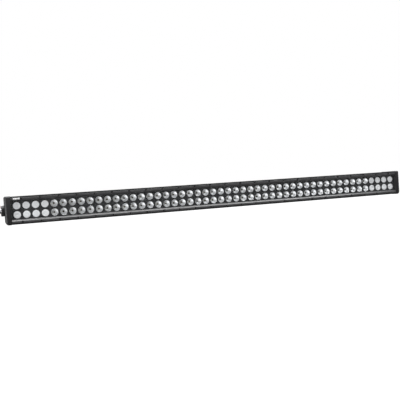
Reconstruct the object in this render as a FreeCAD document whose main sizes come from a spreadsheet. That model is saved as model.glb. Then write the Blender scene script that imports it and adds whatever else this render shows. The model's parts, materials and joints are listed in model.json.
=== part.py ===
import FreeCAD, Part
import math
import os

import Sketcher
from FreeCAD import Vector

# Double-row LED light bar for a truck or trailer, held at its two ends by swivel brackets.
#
# Every sub-part is drawn in the bar's own frame: X along the bar, -Y out of the lens, +Z up, with
# the brackets' pivot axis on Y = 0, Z = 0.  Each body's Placement then moves it back, so that the
# finished part has its origin midway between the two feet, on the plane they bolt to.

SHEET_NAME = "Sizes"

# alias: (value in millimetres or a plain count, what it is)
DIMENSIONS = {
    "optic_pitch": (25.4, "distance between optics, along and across the bar"),
    "optic_columns": (50, "columns of optics"),
    "flood_columns": (4, "columns of flood optics at each end"),
    "optic_radius": (9.3, "clear radius of one optic"),
    "optic_rim": (0.6, "width of the rim round an optic"),
    "throat_radius": (3.0, "radius of an optic at its emitter"),
    "throat_depth": (1.4, "straight part of an optic at its emitter"),
    "optic_curve": (14.0, "radius of the curved wall of an optic"),
    "bar_height": (78, "height of the housing"),
    "front_depth": (38, "pivot axis to the front of the bezel"),
    "rear_depth": (40, "pivot axis to the tips of the fins"),
    "end_margin": (15.2, "last optic's centre to the end of the housing"),
    "wall": (5, "housing wall beside the optics"),
    "lip": (4, "housing wall beside the bezel"),
    "lip_recess": (1.5, "front of the lip behind the front of the bezel"),
    "bezel_thickness": (5, "depth of a bezel rail"),
    "bezel_gap": (0.1, "gap between a bezel rail and the lip"),
    "bezel_edge": (0.6, "thickness of a bezel rail at the window"),
    "window_height": (50.6, "height of the window between the bezel rails"),
    "lens_height": (59, "height of the lens sheet"),
    "lens_thickness": (3, "thickness of the lens sheet"),
    "lens_gap": (0.5, "gap round the lens sheet"),
    "gasket_thickness": (1.5, "thickness of the lens gasket"),
    "gasket_width": (3.5, "width of the lens gasket"),
    "ledge_height": (54, "opening between the ledges behind the lens"),
    "ledge_thickness": (3.5, "thickness of those ledges"),
    "mask_thickness": (2.5, "thickness of the optic mask"),
    "mask_gap": (0.2, "gap between the mask and the ledges"),
    "web_front": (16, "pivot axis to the front of the web"),
    "web_back": (10, "pivot axis to the back of the web"),
    "pad_thickness": (0.5, "thickness of a thermal pad"),
    "board_thickness": (1.6, "thickness of a circuit board"),
    "board_height": (50, "height of an LED board"),
    "board_columns": (5, "columns of optics on one LED board"),
    "board_gap": (0.4, "gap between LED boards"),
    "fin_pitch": (7.5, "distance between fins"),
    "fin_thickness": (2, "thickness of a fin"),
    "outer_fin": (3, "thickness of the outermost fins"),
    "bay_depth": (22, "depth of the driver bay behind the web"),
    "bay_back": (2, "thickness of the driver bay's back"),
    "bezel_screw_height": (32.6, "bezel screws above and below the pivot axis"),
    "cap_screw_height": (30, "cap screws above and below the pivot axis"),
    "cap_screw_front": (14, "front cap screws ahead of the pivot axis"),
    "cap_screw_rear": (32, "rear cap screws behind the pivot axis"),
    "boss_radius": (4.2, "radius of a screw boss in the housing"),
    "cap_gasket": (0.6, "thickness of an end cap's gasket"),
    "cap_thickness": (15.9, "thickness of an end cap"),
    "cap_proud": (1, "end cap beyond the housing, all round"),
    "cap_lower_radius": (8.5, "rounding of an end cap's lower outer edge"),
    "cap_upper_radius": (4.4, "rounding of an end cap's upper outer edge"),
    "cap_bevel": (4, "bevel of an end cap's front outer edge"),
    "insert_radius": (6, "radius of the threaded insert in an end cap"),
    "insert_length": (12.5, "length of that insert"),
    "pivot_radius": (4, "radius of the pivot bolt's thread"),
    "pivot_head_radius": (7, "radius of the pivot bolt's head"),
    "pivot_head_height": (4.4, "height of the pivot bolt's head"),
    "running_gap": (0.05, "clearance of a running fit"),
    "friction_washer": (1, "thickness of the friction washer"),
    "lock_washer": (1.6, "thickness of the lock washer"),
    "arm_width": (30, "width of a bracket"),
    "arm_thickness": (7.9, "thickness of a bracket"),
    "foot_reach": (70, "pivot axis to the plane the feet bolt to"),
    "foot_length": (60, "length of a bracket's foot along the bar"),
    "foot_spacing": (1258, "distance between the slots of the two feet"),
    "foot_slot_length": (22, "length of a foot's slot, end to end"),
    "foot_slot_radius": (4.5, "half the width of a foot's slot"),
    "bend_radius": (3, "inside radius of a bracket's bend"),
    "fitting_reach": (560, "middle of the bar to the cable gland and to the vent"),
    "fitting_hole": (6.1, "radius of the holes for the gland and the vent"),
    "cable_radius": (3.5, "radius of the power cable"),
    "cable_run": (57, "pivot axis to the power cable behind the bar"),
    "cable_length": (250, "length of the power cable along the bar"),
    "driver_length": (220, "length of the driver board"),
}

document = FreeCAD.newDocument("led_light_bar")
sub_parts = []


class Size:
    """A length that carries its value and its formula in the sheet, and takes part in sums."""

    def __init__(self, value, formula):
        self.value = value
        self.formula = formula

    def __add__(self, other):
        other = as_size(other)
        return Size(self.value + other.value, f"({self.formula} + {other.formula})")

    def __sub__(self, other):
        other = as_size(other)
        return Size(self.value - other.value, f"({self.formula} - {other.formula})")

    def __mul__(self, other):
        other = as_size(other)
        return Size(self.value * other.value, f"({self.formula} * {other.formula})")

    def __truediv__(self, other):
        other = as_size(other)
        return Size(self.value / other.value, f"({self.formula} / {other.formula})")

    def __neg__(self):
        return self * -1

    def __radd__(self, other):
        return as_size(other) + self

    def __rsub__(self, other):
        return as_size(other) - self

    def __rmul__(self, other):
        return as_size(other) * self


def as_size(number):
    """A plain number as a size of its own."""
    if isinstance(number, Size):
        return number
    return Size(float(number), repr(round(float(number), 6)))


def fill_sheet():
    """Write the driving dimensions to the spreadsheet and return each one as a size."""
    sheet = document.addObject("Spreadsheet::Sheet", SHEET_NAME)
    sizes = {}
    for row, (alias, (value, meaning)) in enumerate(DIMENSIONS.items(), start=1):
        sheet.set(f"A{row}", meaning)
        sheet.set(f"B{row}", str(value))
        sheet.setAlias(f"B{row}", alias)
        sizes[alias] = Size(float(value), f"{SHEET_NAME}.{alias}")
    document.recompute()
    return sizes


size = fill_sheet()

# ---------------------------------------------------------------- places worked out from the sheet

half_height = size["bar_height"] / 2
housing_length = size["optic_pitch"] * (size["optic_columns"] - 1) + size["end_margin"] * 2
housing_end = housing_length / 2
first_column = -(size["optic_pitch"] * (size["optic_columns"] - 1)) / 2
row_height = size["optic_pitch"] / 2

bezel_front = -size["front_depth"]
bezel_back = bezel_front + size["bezel_thickness"]
lip_front = bezel_front + size["lip_recess"]
lens_back = bezel_back + size["lens_thickness"]
ledge_front = lens_back + size["gasket_thickness"]
ledge_back = ledge_front + size["ledge_thickness"]
web_front = -size["web_front"]
web_back = -size["web_back"]
board_back = web_front - size["pad_thickness"]
board_front = board_back - size["board_thickness"]
OPTIC_TO_BOARD = 0.1
optic_back = board_front - OPTIC_TO_BOARD
fin_tips = size["rear_depth"]
bay_inner_back = web_back + size["bay_depth"]
bay_outer_back = bay_inner_back + size["bay_back"]

lip_inner = half_height - size["lip"]
wall_inner = half_height - size["wall"]
lens_half = size["lens_height"] / 2
pocket_half = lens_half + size["lens_gap"]
ledge_half = size["ledge_height"] / 2
window_half = size["window_height"] / 2
bay_half = size["fin_pitch"] * 2

optic_outer = size["optic_radius"] + size["optic_rim"]
board_pitch = size["optic_pitch"] * size["board_columns"]
board_count = size["optic_columns"] / size["board_columns"]
first_board = -(board_pitch * (board_count - 1)) / 2

# The bezel screws stand in every second gap between columns.
bezel_screw_pitch = size["optic_pitch"] * 2
bezel_screw_count = size["optic_columns"] / 2
first_bezel_screw = -(bezel_screw_pitch * (bezel_screw_count - 1)) / 2
METAL_UNDER_HEAD = 2
bezel_screw_seat = bezel_back - METAL_UNDER_HEAD
SCREW_RECESS_RADIUS = 3.1
# Radii of a 3 mm screw's thread, the hole it is driven into and the hole it passes through.
THREE_MM_THREAD = 1.2
THREE_MM_HOLE = 1.25
THREE_MM_CLEARANCE = 1.6

cap_inner = housing_end + size["cap_gasket"]
cap_outer = cap_inner + size["cap_thickness"]
# The same three radii for a 4 mm screw, and how far its head is sunk in the cap.
FOUR_MM_THREAD = 1.6
FOUR_MM_HOLE = 1.65
FOUR_MM_CLEARANCE = 2.2
CAP_SCREW_RECESS = 4.2

# The driver board slides between a rib in front of it and one behind it.
DRIVER_RIB = 1.4
DRIVER_FRONT_RIB = web_back + 2.5
DRIVER_BACK_RIB = DRIVER_FRONT_RIB + DRIVER_RIB + 1.8
BOARD_SCREW_OFFSET = size["optic_pitch"] * 1.5
BOARD_SCREW_DEPTH = 5
LEAD_HOLE_RADIUS = 4
# Half the width of the gap cut in the short fins for a spanner on the gland or the vent.
FITTING_ROOM = 16

arm_inner = cap_outer + size["friction_washer"] + size["running_gap"]
arm_outer = arm_inner + size["arm_thickness"]
lock_washer_inner = arm_outer + size["running_gap"]
pivot_head_inner = lock_washer_inner + size["lock_washer"]

SIDES = {"left": -1, "right": 1}
ROWS = {"upper": 1, "lower": -1}


# ---------------------------------------------------------------- drawing and feature helpers

def new_body(label):
    """Start one sub-part.  Its Placement moves the pivot axis ahead of the feet's plane."""
    body = document.addObject("PartDesign::Body", label)
    body.Label = label
    body.AllowCompound = True
    body.setExpression("Placement.Base.y", (-size["foot_reach"]).formula)
    sub_parts.append(body)
    return body


def origin_feature(body, role):
    """One of the body's own origin planes or axes."""
    return next(item for item in body.Origin.OriginFeatures if item.Role == role)


def start_sketch(body, role, across, up, out):
    """An empty sketch on an origin plane, with its own origin moved by three bound sizes."""
    sketch = body.newObject("Sketcher::SketchObject", f"{body.Name}_sketch")
    sketch.AttachmentSupport = [(origin_feature(body, role), "")]
    sketch.MapMode = "FlatFace"
    for letter, shift in (("x", across), ("y", up), ("z", out)):
        sketch.setExpression(f"AttachmentOffset.Base.{letter}", as_size(shift).formula)
    return sketch


def front_sketch(body, x=0, y=0, z=0):
    """A sketch seen from the lens side, drawn in X and Z.  Its normal is -Y."""
    return start_sketch(body, "XZ_Plane", x, z, -as_size(y))


def side_sketch(body, x=0, y=0, z=0):
    """A sketch seen from the end, drawn in Y and Z.  Its normal is +X."""
    return start_sketch(body, "YZ_Plane", y, z, x)


def plan_sketch(body, x=0, y=0, z=0):
    """A sketch seen from above, drawn in X and Y.  Its normal is +Z."""
    return start_sketch(body, "XY_Plane", x, y, z)


def pin_point(sketch, geometry, place, across, up):
    """Tie a point of the sketch's geometry to two bound distances from the sketch's origin."""
    vertical_axis = -2
    horizontal_axis = -1
    origin = (-1, 1)
    for kind, distance, axis in (("DistanceX", across, vertical_axis), ("DistanceY", up, horizontal_axis)):
        distance = as_size(distance)
        if abs(distance.value) < 1e-9:
            sketch.addConstraint(Sketcher.Constraint("PointOnObject", geometry, place, axis))
            continue
        number = sketch.addConstraint(Sketcher.Constraint(kind, *origin, geometry, place, distance.value))
        sketch.setExpression(f"Constraints[{number}]", distance.formula)


def flat_point(corner):
    return Vector(as_size(corner[0]).value, as_size(corner[1]).value, 0)


def arc_between(start, finish, radius, turn):
    """The short arc from start to finish: turn is 1 for counter-clockwise and -1 for clockwise."""
    chord = finish - start
    rise = math.sqrt(radius ** 2 - (chord.Length / 2) ** 2)
    leftward = Vector(-chord.y, chord.x, 0).normalize()
    centre = (start + finish) / 2 + leftward * rise * turn
    circle = Part.Circle(centre, Vector(0, 0, 1), radius)
    angles = [math.atan2(point.y - centre.y, point.x - centre.x) for point in (start, finish)]
    return Part.ArcOfCircle(circle, *angles[::turn])


def add_outline(sketch, corners):
    """Draw a closed outline through corners (across, up).

    A corner (across, up, radius, turn) starts an arc to the next corner."""
    first = sketch.GeometryCount
    ends = []
    for number, corner in enumerate(corners):
        start = flat_point(corner)
        finish = flat_point(corners[(number + 1) % len(corners)])
        if len(corner) == 2:
            sketch.addGeometry(Part.LineSegment(start, finish), False)
            ends.append((1, 2))
        else:
            radius, turn = as_size(corner[2]), corner[3]
            sketch.addGeometry(arc_between(start, finish, radius.value, turn), False)
            ends.append((1, 2)[::turn])
    for number in range(len(corners)):
        following = (number + 1) % len(corners)
        joint = (first + number, ends[number][1], first + following, ends[following][0])
        sketch.addConstraint(Sketcher.Constraint("Coincident", *joint))
    for number, corner in enumerate(corners):
        pin_point(sketch, first + number, ends[number][0], corner[0], corner[1])
        if len(corner) > 2:
            radius = as_size(corner[2])
            tie = sketch.addConstraint(Sketcher.Constraint("Radius", first + number, radius.value))
            sketch.setExpression(f"Constraints[{tie}]", radius.formula)
    return sketch


def add_box(sketch, left, right, bottom, top):
    return add_outline(sketch, [(left, bottom), (right, bottom), (right, top), (left, top)])


def add_circle(sketch, across, up, radius):
    radius = as_size(radius)
    circle = Part.Circle(flat_point((across, up)), Vector(0, 0, 1), radius.value)
    geometry = sketch.addGeometry(circle, False)
    centre = 3
    pin_point(sketch, geometry, centre, across, up)
    tie = sketch.addConstraint(Sketcher.Constraint("Radius", geometry, radius.value))
    sketch.setExpression(f"Constraints[{tie}]", radius.formula)
    return sketch


def add_hexagon(sketch, corner_radius):
    """A hexagon about the sketch's own origin."""
    angles = [math.radians(60 * step) for step in range(6)]
    corners = [(corner_radius * math.cos(angle), corner_radius * math.sin(angle)) for angle in angles]
    return add_outline(sketch, corners)


def volume_of(body):
    return body.Shape.Volume if not body.Shape.isNull() else 0.0


def pad(body, sketch, length, backward=False, middle=False):
    """Grow material from a sketch along its normal, against it, or both ways."""
    feature = body.newObject("PartDesign::Pad", f"{body.Name}_pad")
    feature.Profile = sketch
    feature.Midplane = middle
    feature.Reversed = backward
    feature.setExpression("Length", as_size(length).formula)
    document.recompute()
    return feature


def pocket(body, sketch, length, forward=False, middle=False):
    """Cut against the sketch's normal, along it, or both ways, and make sure something was cut."""
    before = volume_of(body)
    feature = body.newObject("PartDesign::Pocket", f"{body.Name}_pocket")
    feature.Profile = sketch
    feature.Midplane = middle
    feature.Reversed = forward
    feature.setExpression("Length", as_size(length).formula)
    document.recompute()
    if volume_of(body) > before - 1e-6:
        raise RuntimeError(f"{body.Name}: a pocket cut nothing")
    return feature


def turn(body, sketch, profile):
    """Turn a profile of (along, radius) corners about the sketch's horizontal axis."""
    add_outline(sketch, profile)
    feature = body.newObject("PartDesign::Revolution", f"{body.Name}_turned")
    feature.Profile = sketch
    feature.ReferenceAxis = (sketch, ["H_Axis"])
    feature.Angle = 360
    document.recompute()
    return feature


def repeat(body, features, axis, step, count):
    """Repeat features along an axis of the body."""
    count = as_size(count)
    feature = body.newObject("PartDesign::LinearPattern", f"{body.Name}_row")
    feature.Originals = features
    feature.Direction = (origin_feature(body, axis), [""])
    feature.Occurrences = int(round(count.value))
    feature.setExpression("Occurrences", count.formula)
    feature.setExpression("Length", (as_size(step) * (count - 1)).formula)
    body.Tip = feature
    document.recompute()
    return feature


def soften(body, kind, base, amount, chosen):
    """Fillet or chamfer the edges of a feature whose box centre satisfies a test."""
    names = [
        f"Edge{number}"
        for number, edge in enumerate(base.Shape.Edges, start=1)
        if chosen(edge.BoundBox)
    ]
    if not names:
        raise RuntimeError(f"{body.Name}: no edge to soften")
    feature = body.newObject(f"PartDesign::{kind}", f"{body.Name}_{kind.lower()}")
    feature.Base = (base, names)
    feature.setExpression("Radius" if kind == "Fillet" else "Size", as_size(amount).formula)
    document.recompute()
    return feature


def near(first, second):
    return abs(as_size(first).value - as_size(second).value) < 0.02


def lies_at(box, **planes):
    """Whether an edge's box is flat on each named plane, such as x=20."""
    return all(
        near(getattr(box, f"{axis.upper()}{end}"), place)
        for axis, place in planes.items()
        for end in ("Min", "Max")
    )


def is_level(box):
    return near(box.ZMin, box.ZMax)


def mirrored(corners):
    """The same corners below the middle, in the order that carries an outline on."""
    return [(along, -as_size(up)) for along, up in reversed(corners)]


# ---------------------------------------------------------------- housing

def build_housing():
    """Extruded housing: a channel for the optics, a web, fins and a driver bay behind it."""
    body = new_body("housing")
    channel = [
        (lip_front, lip_inner),
        (bezel_back, lip_inner),
        (bezel_back, pocket_half),
        (ledge_front, pocket_half),
        (ledge_front, ledge_half),
        (ledge_back, ledge_half),
        (ledge_back, wall_inner),
        (web_front, wall_inner),
    ]
    back = [
        (web_back, half_height - size["outer_fin"]),
        (fin_tips, half_height - size["outer_fin"]),
        (fin_tips, half_height),
        (lip_front, half_height),
    ]
    section = add_outline(side_sketch(body), channel + mirrored(channel) + mirrored(back) + back)
    pad(body, section, housing_length, middle=True)
    add_fins(body)
    add_bay(body)
    add_cap_screw_bosses(body)
    drill_housing(body)
    return body


def add_fins(body):
    """Long fins from the web, and short fins behind the driver bay."""
    half_fin = size["fin_thickness"] / 2
    for start, steps in ((web_back, (2, 3, 4)), (bay_outer_back, (0, 1))):
        sketch = side_sketch(body)
        for step in steps:
            for side in {1, -1} if step else {1}:
                middle = size["fin_pitch"] * step * side
                add_box(sketch, start, fin_tips, middle - half_fin, middle + half_fin)
        if start is web_back:
            pad(body, sketch, housing_length, middle=True)
        else:
            short_fins = sketch
    back = add_box(side_sketch(body), bay_inner_back, bay_outer_back, -bay_half, bay_half)
    pad(body, back, housing_length, middle=True)
    pad(body, short_fins, housing_length, middle=True)


def add_bay(body):
    """Two grooved ribs on each wall of the bay, between which the driver board slides in."""
    wall = bay_half - size["fin_thickness"] / 2
    rib_height = 1.5
    sketch = side_sketch(body)
    for bottom, top in ((wall - rib_height, wall), (-wall, rib_height - wall)):
        for start in (DRIVER_BACK_RIB, DRIVER_FRONT_RIB):
            add_box(sketch, start, start + DRIVER_RIB, bottom, top)
    pad(body, sketch, housing_length, middle=True)


def add_cap_screw_bosses(body):
    """Four bosses along the whole extrusion that take the end cap screws."""
    for radius, shape in ((size["boss_radius"], pad), (FOUR_MM_HOLE, pocket)):
        sketch = side_sketch(body)
        for along, up in cap_screw_places():
            add_circle(sketch, along, up, radius)
        shape(body, sketch, housing_length, middle=True)


def cap_screw_places():
    """The four places of an end cap's screws, in Y and Z."""
    return [
        (along, size["cap_screw_height"] * side)
        for along in (-size["cap_screw_front"], size["cap_screw_rear"])
        for side in (1, -1)
    ]


def drill_housing(body):
    """Holes for the bezel screws, board screws, leads, gland and vent."""
    screw_hole_depth = 7
    for direction in ROWS.values():
        height = size["bezel_screw_height"] * direction
        for start, radius, depth in (
            (lip_front, SCREW_RECESS_RADIUS, bezel_screw_seat - lip_front),
            (bezel_back, THREE_MM_HOLE, screw_hole_depth),
        ):
            sketch = front_sketch(body, first_bezel_screw, start, height)
            hole = pocket(body, add_circle(sketch, 0, 0, radius), depth)
            repeat(body, [hole], "X_Axis", bezel_screw_pitch, bezel_screw_count)
    sketch = front_sketch(body, first_board, web_front, 0)
    for offset in (-BOARD_SCREW_OFFSET, BOARD_SCREW_OFFSET):
        add_circle(sketch, offset, 0, THREE_MM_HOLE)
    hole = pocket(body, sketch, BOARD_SCREW_DEPTH)
    repeat(body, [hole], "X_Axis", board_pitch, board_count)
    lead_hole = add_circle(front_sketch(body, 0, web_front, 0), 0, 0, LEAD_HOLE_RADIUS)
    pocket(body, lead_hole, web_back - web_front)
    for side in SIDES.values():
        centre = size["fitting_reach"] * side
        hole = add_circle(front_sketch(body, centre, bay_inner_back, 0), 0, 0, size["fitting_hole"])
        pocket(body, hole, size["bay_back"])
        clearing = front_sketch(body, centre, bay_outer_back, 0)
        gap_to_fin = 0.1
        half_clearing = bay_half - size["fin_thickness"] / 2 - gap_to_fin
        add_box(clearing, -FITTING_ROOM, FITTING_ROOM, -half_clearing, half_clearing)
        pocket(body, clearing, fin_tips - bay_outer_back)


# ---------------------------------------------------------------- bezel, lens and mask

def build_bezel_rail(row, direction):
    """One front rail: flat outside, bevelled towards the window, with a row of screw recesses."""
    body = new_body(f"{row}_bezel_rail")
    outer = lip_inner - size["bezel_gap"]
    outer_bevel = 0.8
    slope = size["bezel_thickness"] - size["bezel_edge"]
    corners = [
        (bezel_front, outer - outer_bevel),
        (bezel_front + outer_bevel, outer),
        (bezel_back, outer),
        (bezel_back, window_half),
        (bezel_back - size["bezel_edge"], window_half),
        (bezel_front, window_half + slope),
    ]
    corners = [(along, up * direction) for along, up in corners]
    rail_gap = 0.2
    pad(body, add_outline(side_sketch(body), corners), housing_length - rail_gap * 2, middle=True)
    height = size["bezel_screw_height"] * direction
    recess = add_circle(front_sketch(body, first_bezel_screw, bezel_front, height), 0, 0, SCREW_RECESS_RADIUS)
    recess_cut = pocket(body, recess, bezel_screw_seat - bezel_front)
    through = add_circle(front_sketch(body, first_bezel_screw, bezel_front, height), 0, 0, THREE_MM_CLEARANCE)
    through_cut = pocket(body, through, size["bezel_thickness"])
    repeat(body, [recess_cut, through_cut], "X_Axis", bezel_screw_pitch, bezel_screw_count)


def socket_screw(body, x, z, seat, head_radius, head_height, thread_radius, length):
    """One button-head socket screw along Y, its head in front of the seat.  Returns its features."""
    top_radius = head_radius * 0.6
    socket_radius = head_radius * 0.4
    socket_depth = head_height * 0.6
    crown = [
        (seat - head_height, 0),
        (seat - head_height, top_radius),
        (seat, head_radius),
        (seat, thread_radius),
        (seat + length, thread_radius),
        (seat + length, 0),
    ]
    turned = turn(body, side_sketch(body, x, 0, z), crown)
    socket = add_hexagon(front_sketch(body, x, seat - head_height, z), socket_radius)
    return [turned, pocket(body, socket, socket_depth)]


def build_bezel_screws(row, direction):
    body = new_body(f"{row}_bezel_screws")
    height = size["bezel_screw_height"] * direction
    head_radius, head_height, length = 2.75, 1.8, 8.5
    screw = socket_screw(
        body, first_bezel_screw, height, bezel_screw_seat, head_radius, head_height, THREE_MM_THREAD, length
    )
    repeat(body, screw, "X_Axis", bezel_screw_pitch, bezel_screw_count)


def build_lens():
    """Clear sheet clamped by the bezel rails."""
    body = new_body("front_lens")
    reach = housing_end - size["lens_gap"]
    sheet = add_box(front_sketch(body, 0, bezel_back, 0), -reach, reach, -lens_half, lens_half)
    pad(body, sheet, size["lens_thickness"], backward=True)


def build_lens_gasket():
    """Silicone ring between the lens and the ledges."""
    body = new_body("lens_gasket")
    reach = housing_end - size["lens_gap"]
    width = size["gasket_width"]
    ring = front_sketch(body, 0, lens_back, 0)
    add_box(ring, -reach, reach, -lens_half, lens_half)
    add_box(ring, width - reach, reach - width, width - lens_half, lens_half - width)
    pad(body, ring, size["gasket_thickness"], backward=True)


def build_mask():
    """Black plate with one round opening for each optic."""
    body = new_body("reflector_mask")
    reach = housing_end - size["lens_gap"]
    half = ledge_half - size["mask_gap"]
    plate = add_box(front_sketch(body, 0, ledge_front, 0), -reach, reach, -half, half)
    pad(body, plate, size["mask_thickness"], backward=True)
    opening_gap = 0.1
    openings = front_sketch(body, first_column, ledge_front, 0)
    for direction in ROWS.values():
        add_circle(openings, 0, row_height * direction, optic_outer + opening_gap)
    cut = pocket(body, openings, size["mask_thickness"])
    repeat(body, [cut], "X_Axis", size["optic_pitch"], size["optic_columns"])


# ---------------------------------------------------------------- optics and LED boards

def optic_profile(inner):
    """Outline of a reflector cup about its own axis: a curved wall on a short straight throat."""
    throat_front = optic_back - size["throat_depth"]
    throat = size["throat_radius"]
    shell = size["optic_rim"]
    curve = size["optic_curve"]
    return [
        (ledge_front, inner, curve, 1),
        (throat_front, throat),
        (optic_back, throat),
        (optic_back, throat + shell * 3),
        (throat_front, throat + shell * 3, curve, -1),
        (ledge_front, inner + shell),
    ]


def build_spot_reflectors():
    """Metallised cups on the columns between the flood optics."""
    body = new_body("spot_reflectors")
    first = first_column + size["optic_pitch"] * size["flood_columns"]
    cups = [
        turn(body, side_sketch(body, first, 0, row_height * direction), optic_profile(size["optic_radius"]))
        for direction in ROWS.values()
    ]
    count = size["optic_columns"] - size["flood_columns"] * 2
    repeat(body, cups, "X_Axis", size["optic_pitch"], count)


def build_flood_optics(side, direction):
    """Frosted solid optics with a slightly domed face, on the outer columns of one end."""
    body = new_body(f"{side}_flood_optics")
    dome = 0.7
    skirt = 2
    neck = size["throat_radius"] + 2
    hollow_front = optic_back - 5
    profile = [
        (ledge_front - dome, 0),
        (ledge_front, optic_outer),
        (ledge_front + skirt, optic_outer),
        (optic_back, neck),
        (optic_back, size["throat_radius"]),
        (hollow_front, size["throat_radius"]),
        (hollow_front, 0),
    ]
    first = first_column
    if direction > 0:
        first = first_column + size["optic_pitch"] * (size["optic_columns"] - size["flood_columns"])
    optics = [
        turn(body, side_sketch(body, first, 0, row_height * across), profile) for across in ROWS.values()
    ]
    repeat(body, optics, "X_Axis", size["optic_pitch"], size["flood_columns"])


def build_board_layer(label, back, thickness):
    """Ten equal sheets along the web, each with two screw holes and a notch at both ends."""
    body = new_body(label)
    half_length = (board_pitch - size["board_gap"]) / 2
    half = size["board_height"] / 2
    sheet = front_sketch(body, first_board, back - thickness, 0)
    add_box(sheet, -half_length, half_length, -half, half)
    solid = pad(body, sheet, thickness, backward=True)
    holes = front_sketch(body, first_board, back - thickness, 0)
    for side in (-1, 1):
        add_circle(holes, BOARD_SCREW_OFFSET * side, 0, THREE_MM_CLEARANCE)
        add_circle(holes, half_length * side, 0, LEAD_HOLE_RADIUS - 1)
    cut = pocket(body, holes, thickness)
    repeat(body, [solid, cut], "X_Axis", board_pitch, board_count)


def build_emitters():
    """Emitter packages: a square base with a dome, one under each optic."""
    body = new_body("led_emitters")
    half, base, dome = 1.75, 0.8, 1.4
    features = []
    for direction in ROWS.values():
        height = row_height * direction
        package = front_sketch(body, first_column, board_front - base, height)
        features.append(pad(body, add_box(package, -half, half, -half, half), base, backward=True))
        profile = [
            (board_front - base - dome, 0, dome, -1),
            (board_front - base, dome),
            (board_front - base, 0),
        ]
        features.append(turn(body, side_sketch(body, first_column, 0, height), profile))
    repeat(body, features, "X_Axis", size["optic_pitch"], size["optic_columns"])


def build_board_screws():
    body = new_body("board_screws")
    head_radius, head_height, length = 2.5, 1.6, 6.5
    features = []
    for side in (-1, 1):
        place = first_board + BOARD_SCREW_OFFSET * side
        features += socket_screw(
            body, place, 0, board_front, head_radius, head_height, THREE_MM_THREAD, length
        )
    repeat(body, features, "X_Axis", board_pitch, board_count)


def build_board_links():
    """Small copper bridges that join each LED board to the next."""
    body = new_body("board_links")
    half_length, half_width, thickness, height = 4, 1, 0.5, 22.8
    features = []
    for direction in ROWS.values():
        middle = height * direction
        start = first_board + board_pitch / 2
        sketch = front_sketch(body, start, board_front - thickness, middle)
        add_box(sketch, -half_length, half_length, -half_width, half_width)
        features.append(pad(body, sketch, thickness, backward=True))
    repeat(body, features, "X_Axis", board_pitch, board_count - 1)


# ---------------------------------------------------------------- driver

def build_driver():
    """Driver board with its coils and capacitors, and the leads in and out."""
    board_gap, edge_gap = 0.1, 0.3
    board_start = DRIVER_FRONT_RIB + DRIVER_RIB + board_gap
    reach = size["driver_length"] / 2
    half = bay_half - size["fin_thickness"] / 2 - edge_gap
    board = new_body("driver_board")
    sheet = add_box(front_sketch(board, 0, board_start, 0), -reach, reach, -half, half)
    pad(board, sheet, size["board_thickness"], backward=True)

    component_face = board_start + size["board_thickness"]
    coil_half, coil_height, coil_step = 6.5, 8, 110
    coils = new_body("driver_coils")
    sketch = front_sketch(coils, -coil_step / 2, component_face, 0)
    add_box(sketch, -coil_half, coil_half, -coil_half, coil_half)
    first = pad(coils, sketch, coil_height, backward=True)
    repeat(coils, [first], "X_Axis", coil_step, 2)

    can_radius, can_height, can_step = 5, 9, 22
    cans = new_body("driver_capacitors")
    sketch = front_sketch(cans, -can_step * 1.5, component_face, 0)
    first = pad(cans, add_circle(sketch, 0, 0, can_radius), can_height, backward=True)
    repeat(cans, [first], "X_Axis", can_step, 4)

    lead_radius, lead_half_gap = 0.9, 1.5
    feed = new_body("led_feed_leads")
    sketch = front_sketch(feed, 0, board_front, 0)
    for side in (-1, 1):
        add_circle(sketch, 0, side * lead_half_gap, lead_radius)
    pad(feed, sketch, board_start - board_front, backward=True)

    supply = new_body("driver_supply_leads")
    gap_to_gland, lead_height = 4, 3
    start = -size["fitting_reach"] + size["fitting_hole"] + gap_to_gland
    sketch = side_sketch(supply, start, component_face + lead_height, 0)
    for side in (-1, 1):
        add_circle(sketch, 0, side * lead_half_gap, lead_radius)
    pad(supply, sketch, -reach - start)


# ---------------------------------------------------------------- end caps

def build_end_cap(side, direction):
    """Cast end cap, relieved inside, with a threaded-insert hole for the pivot bolt."""
    body = new_body(f"{side}_end_cap")
    half = half_height + size["cap_proud"]
    front = bezel_front - size["cap_proud"]
    back = fin_tips + size["cap_proud"]
    outer = cap_outer * direction
    inward = {"backward": direction > 0}
    block = add_box(side_sketch(body, outer), front, back, -half, half)
    solid = pad(body, block, size["cap_thickness"], **inward)

    for up, radius in ((-half, size["cap_lower_radius"]), (half, size["cap_upper_radius"])):
        solid = soften(body, "Fillet", solid, radius, lambda box: lies_at(box, x=outer, z=up))
    tolerance = 0.1
    curve_start = (cap_outer - size["cap_lower_radius"] - tolerance).value

    def is_outer(box):
        return near(box.Center.x, outer) or min(abs(box.XMin), abs(box.XMax)) > curve_start

    for face in (front, back):
        solid = soften(
            body, "Chamfer", solid, size["cap_bevel"], lambda box: lies_at(box, y=face) and is_outer(box)
        )
    relieve_cap(body, direction)
    drill_cap(body, direction)


def relieve_cap(body, direction):
    """Hollow the inner face, leaving the rim, the screw bosses and a boss for the insert."""
    relief_depth, boss_wall = 6, 5
    boss = size["insert_radius"] + boss_wall
    relief_front, relief_back, relief_half = 28, 30, 22
    sketch = side_sketch(body, cap_inner * direction)
    add_box(sketch, -relief_front, relief_back, -relief_half, relief_half)
    add_circle(sketch, 0, 0, boss)
    pocket(body, sketch, relief_depth, forward=direction > 0)


def drill_cap(body, direction):
    """Counterbored screw holes and the hole for the threaded insert."""
    outer = cap_outer * direction
    head_room = 3.9
    for radius, depth in ((head_room, CAP_SCREW_RECESS), (FOUR_MM_CLEARANCE, size["cap_thickness"])):
        sketch = side_sketch(body, outer)
        for along, up in cap_screw_places():
            add_circle(sketch, along, up, radius)
        pocket(body, sketch, depth, forward=direction < 0)
    insert = add_circle(side_sketch(body, outer), 0, 0, size["insert_radius"])
    pocket(body, insert, size["insert_length"], forward=direction < 0)


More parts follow.
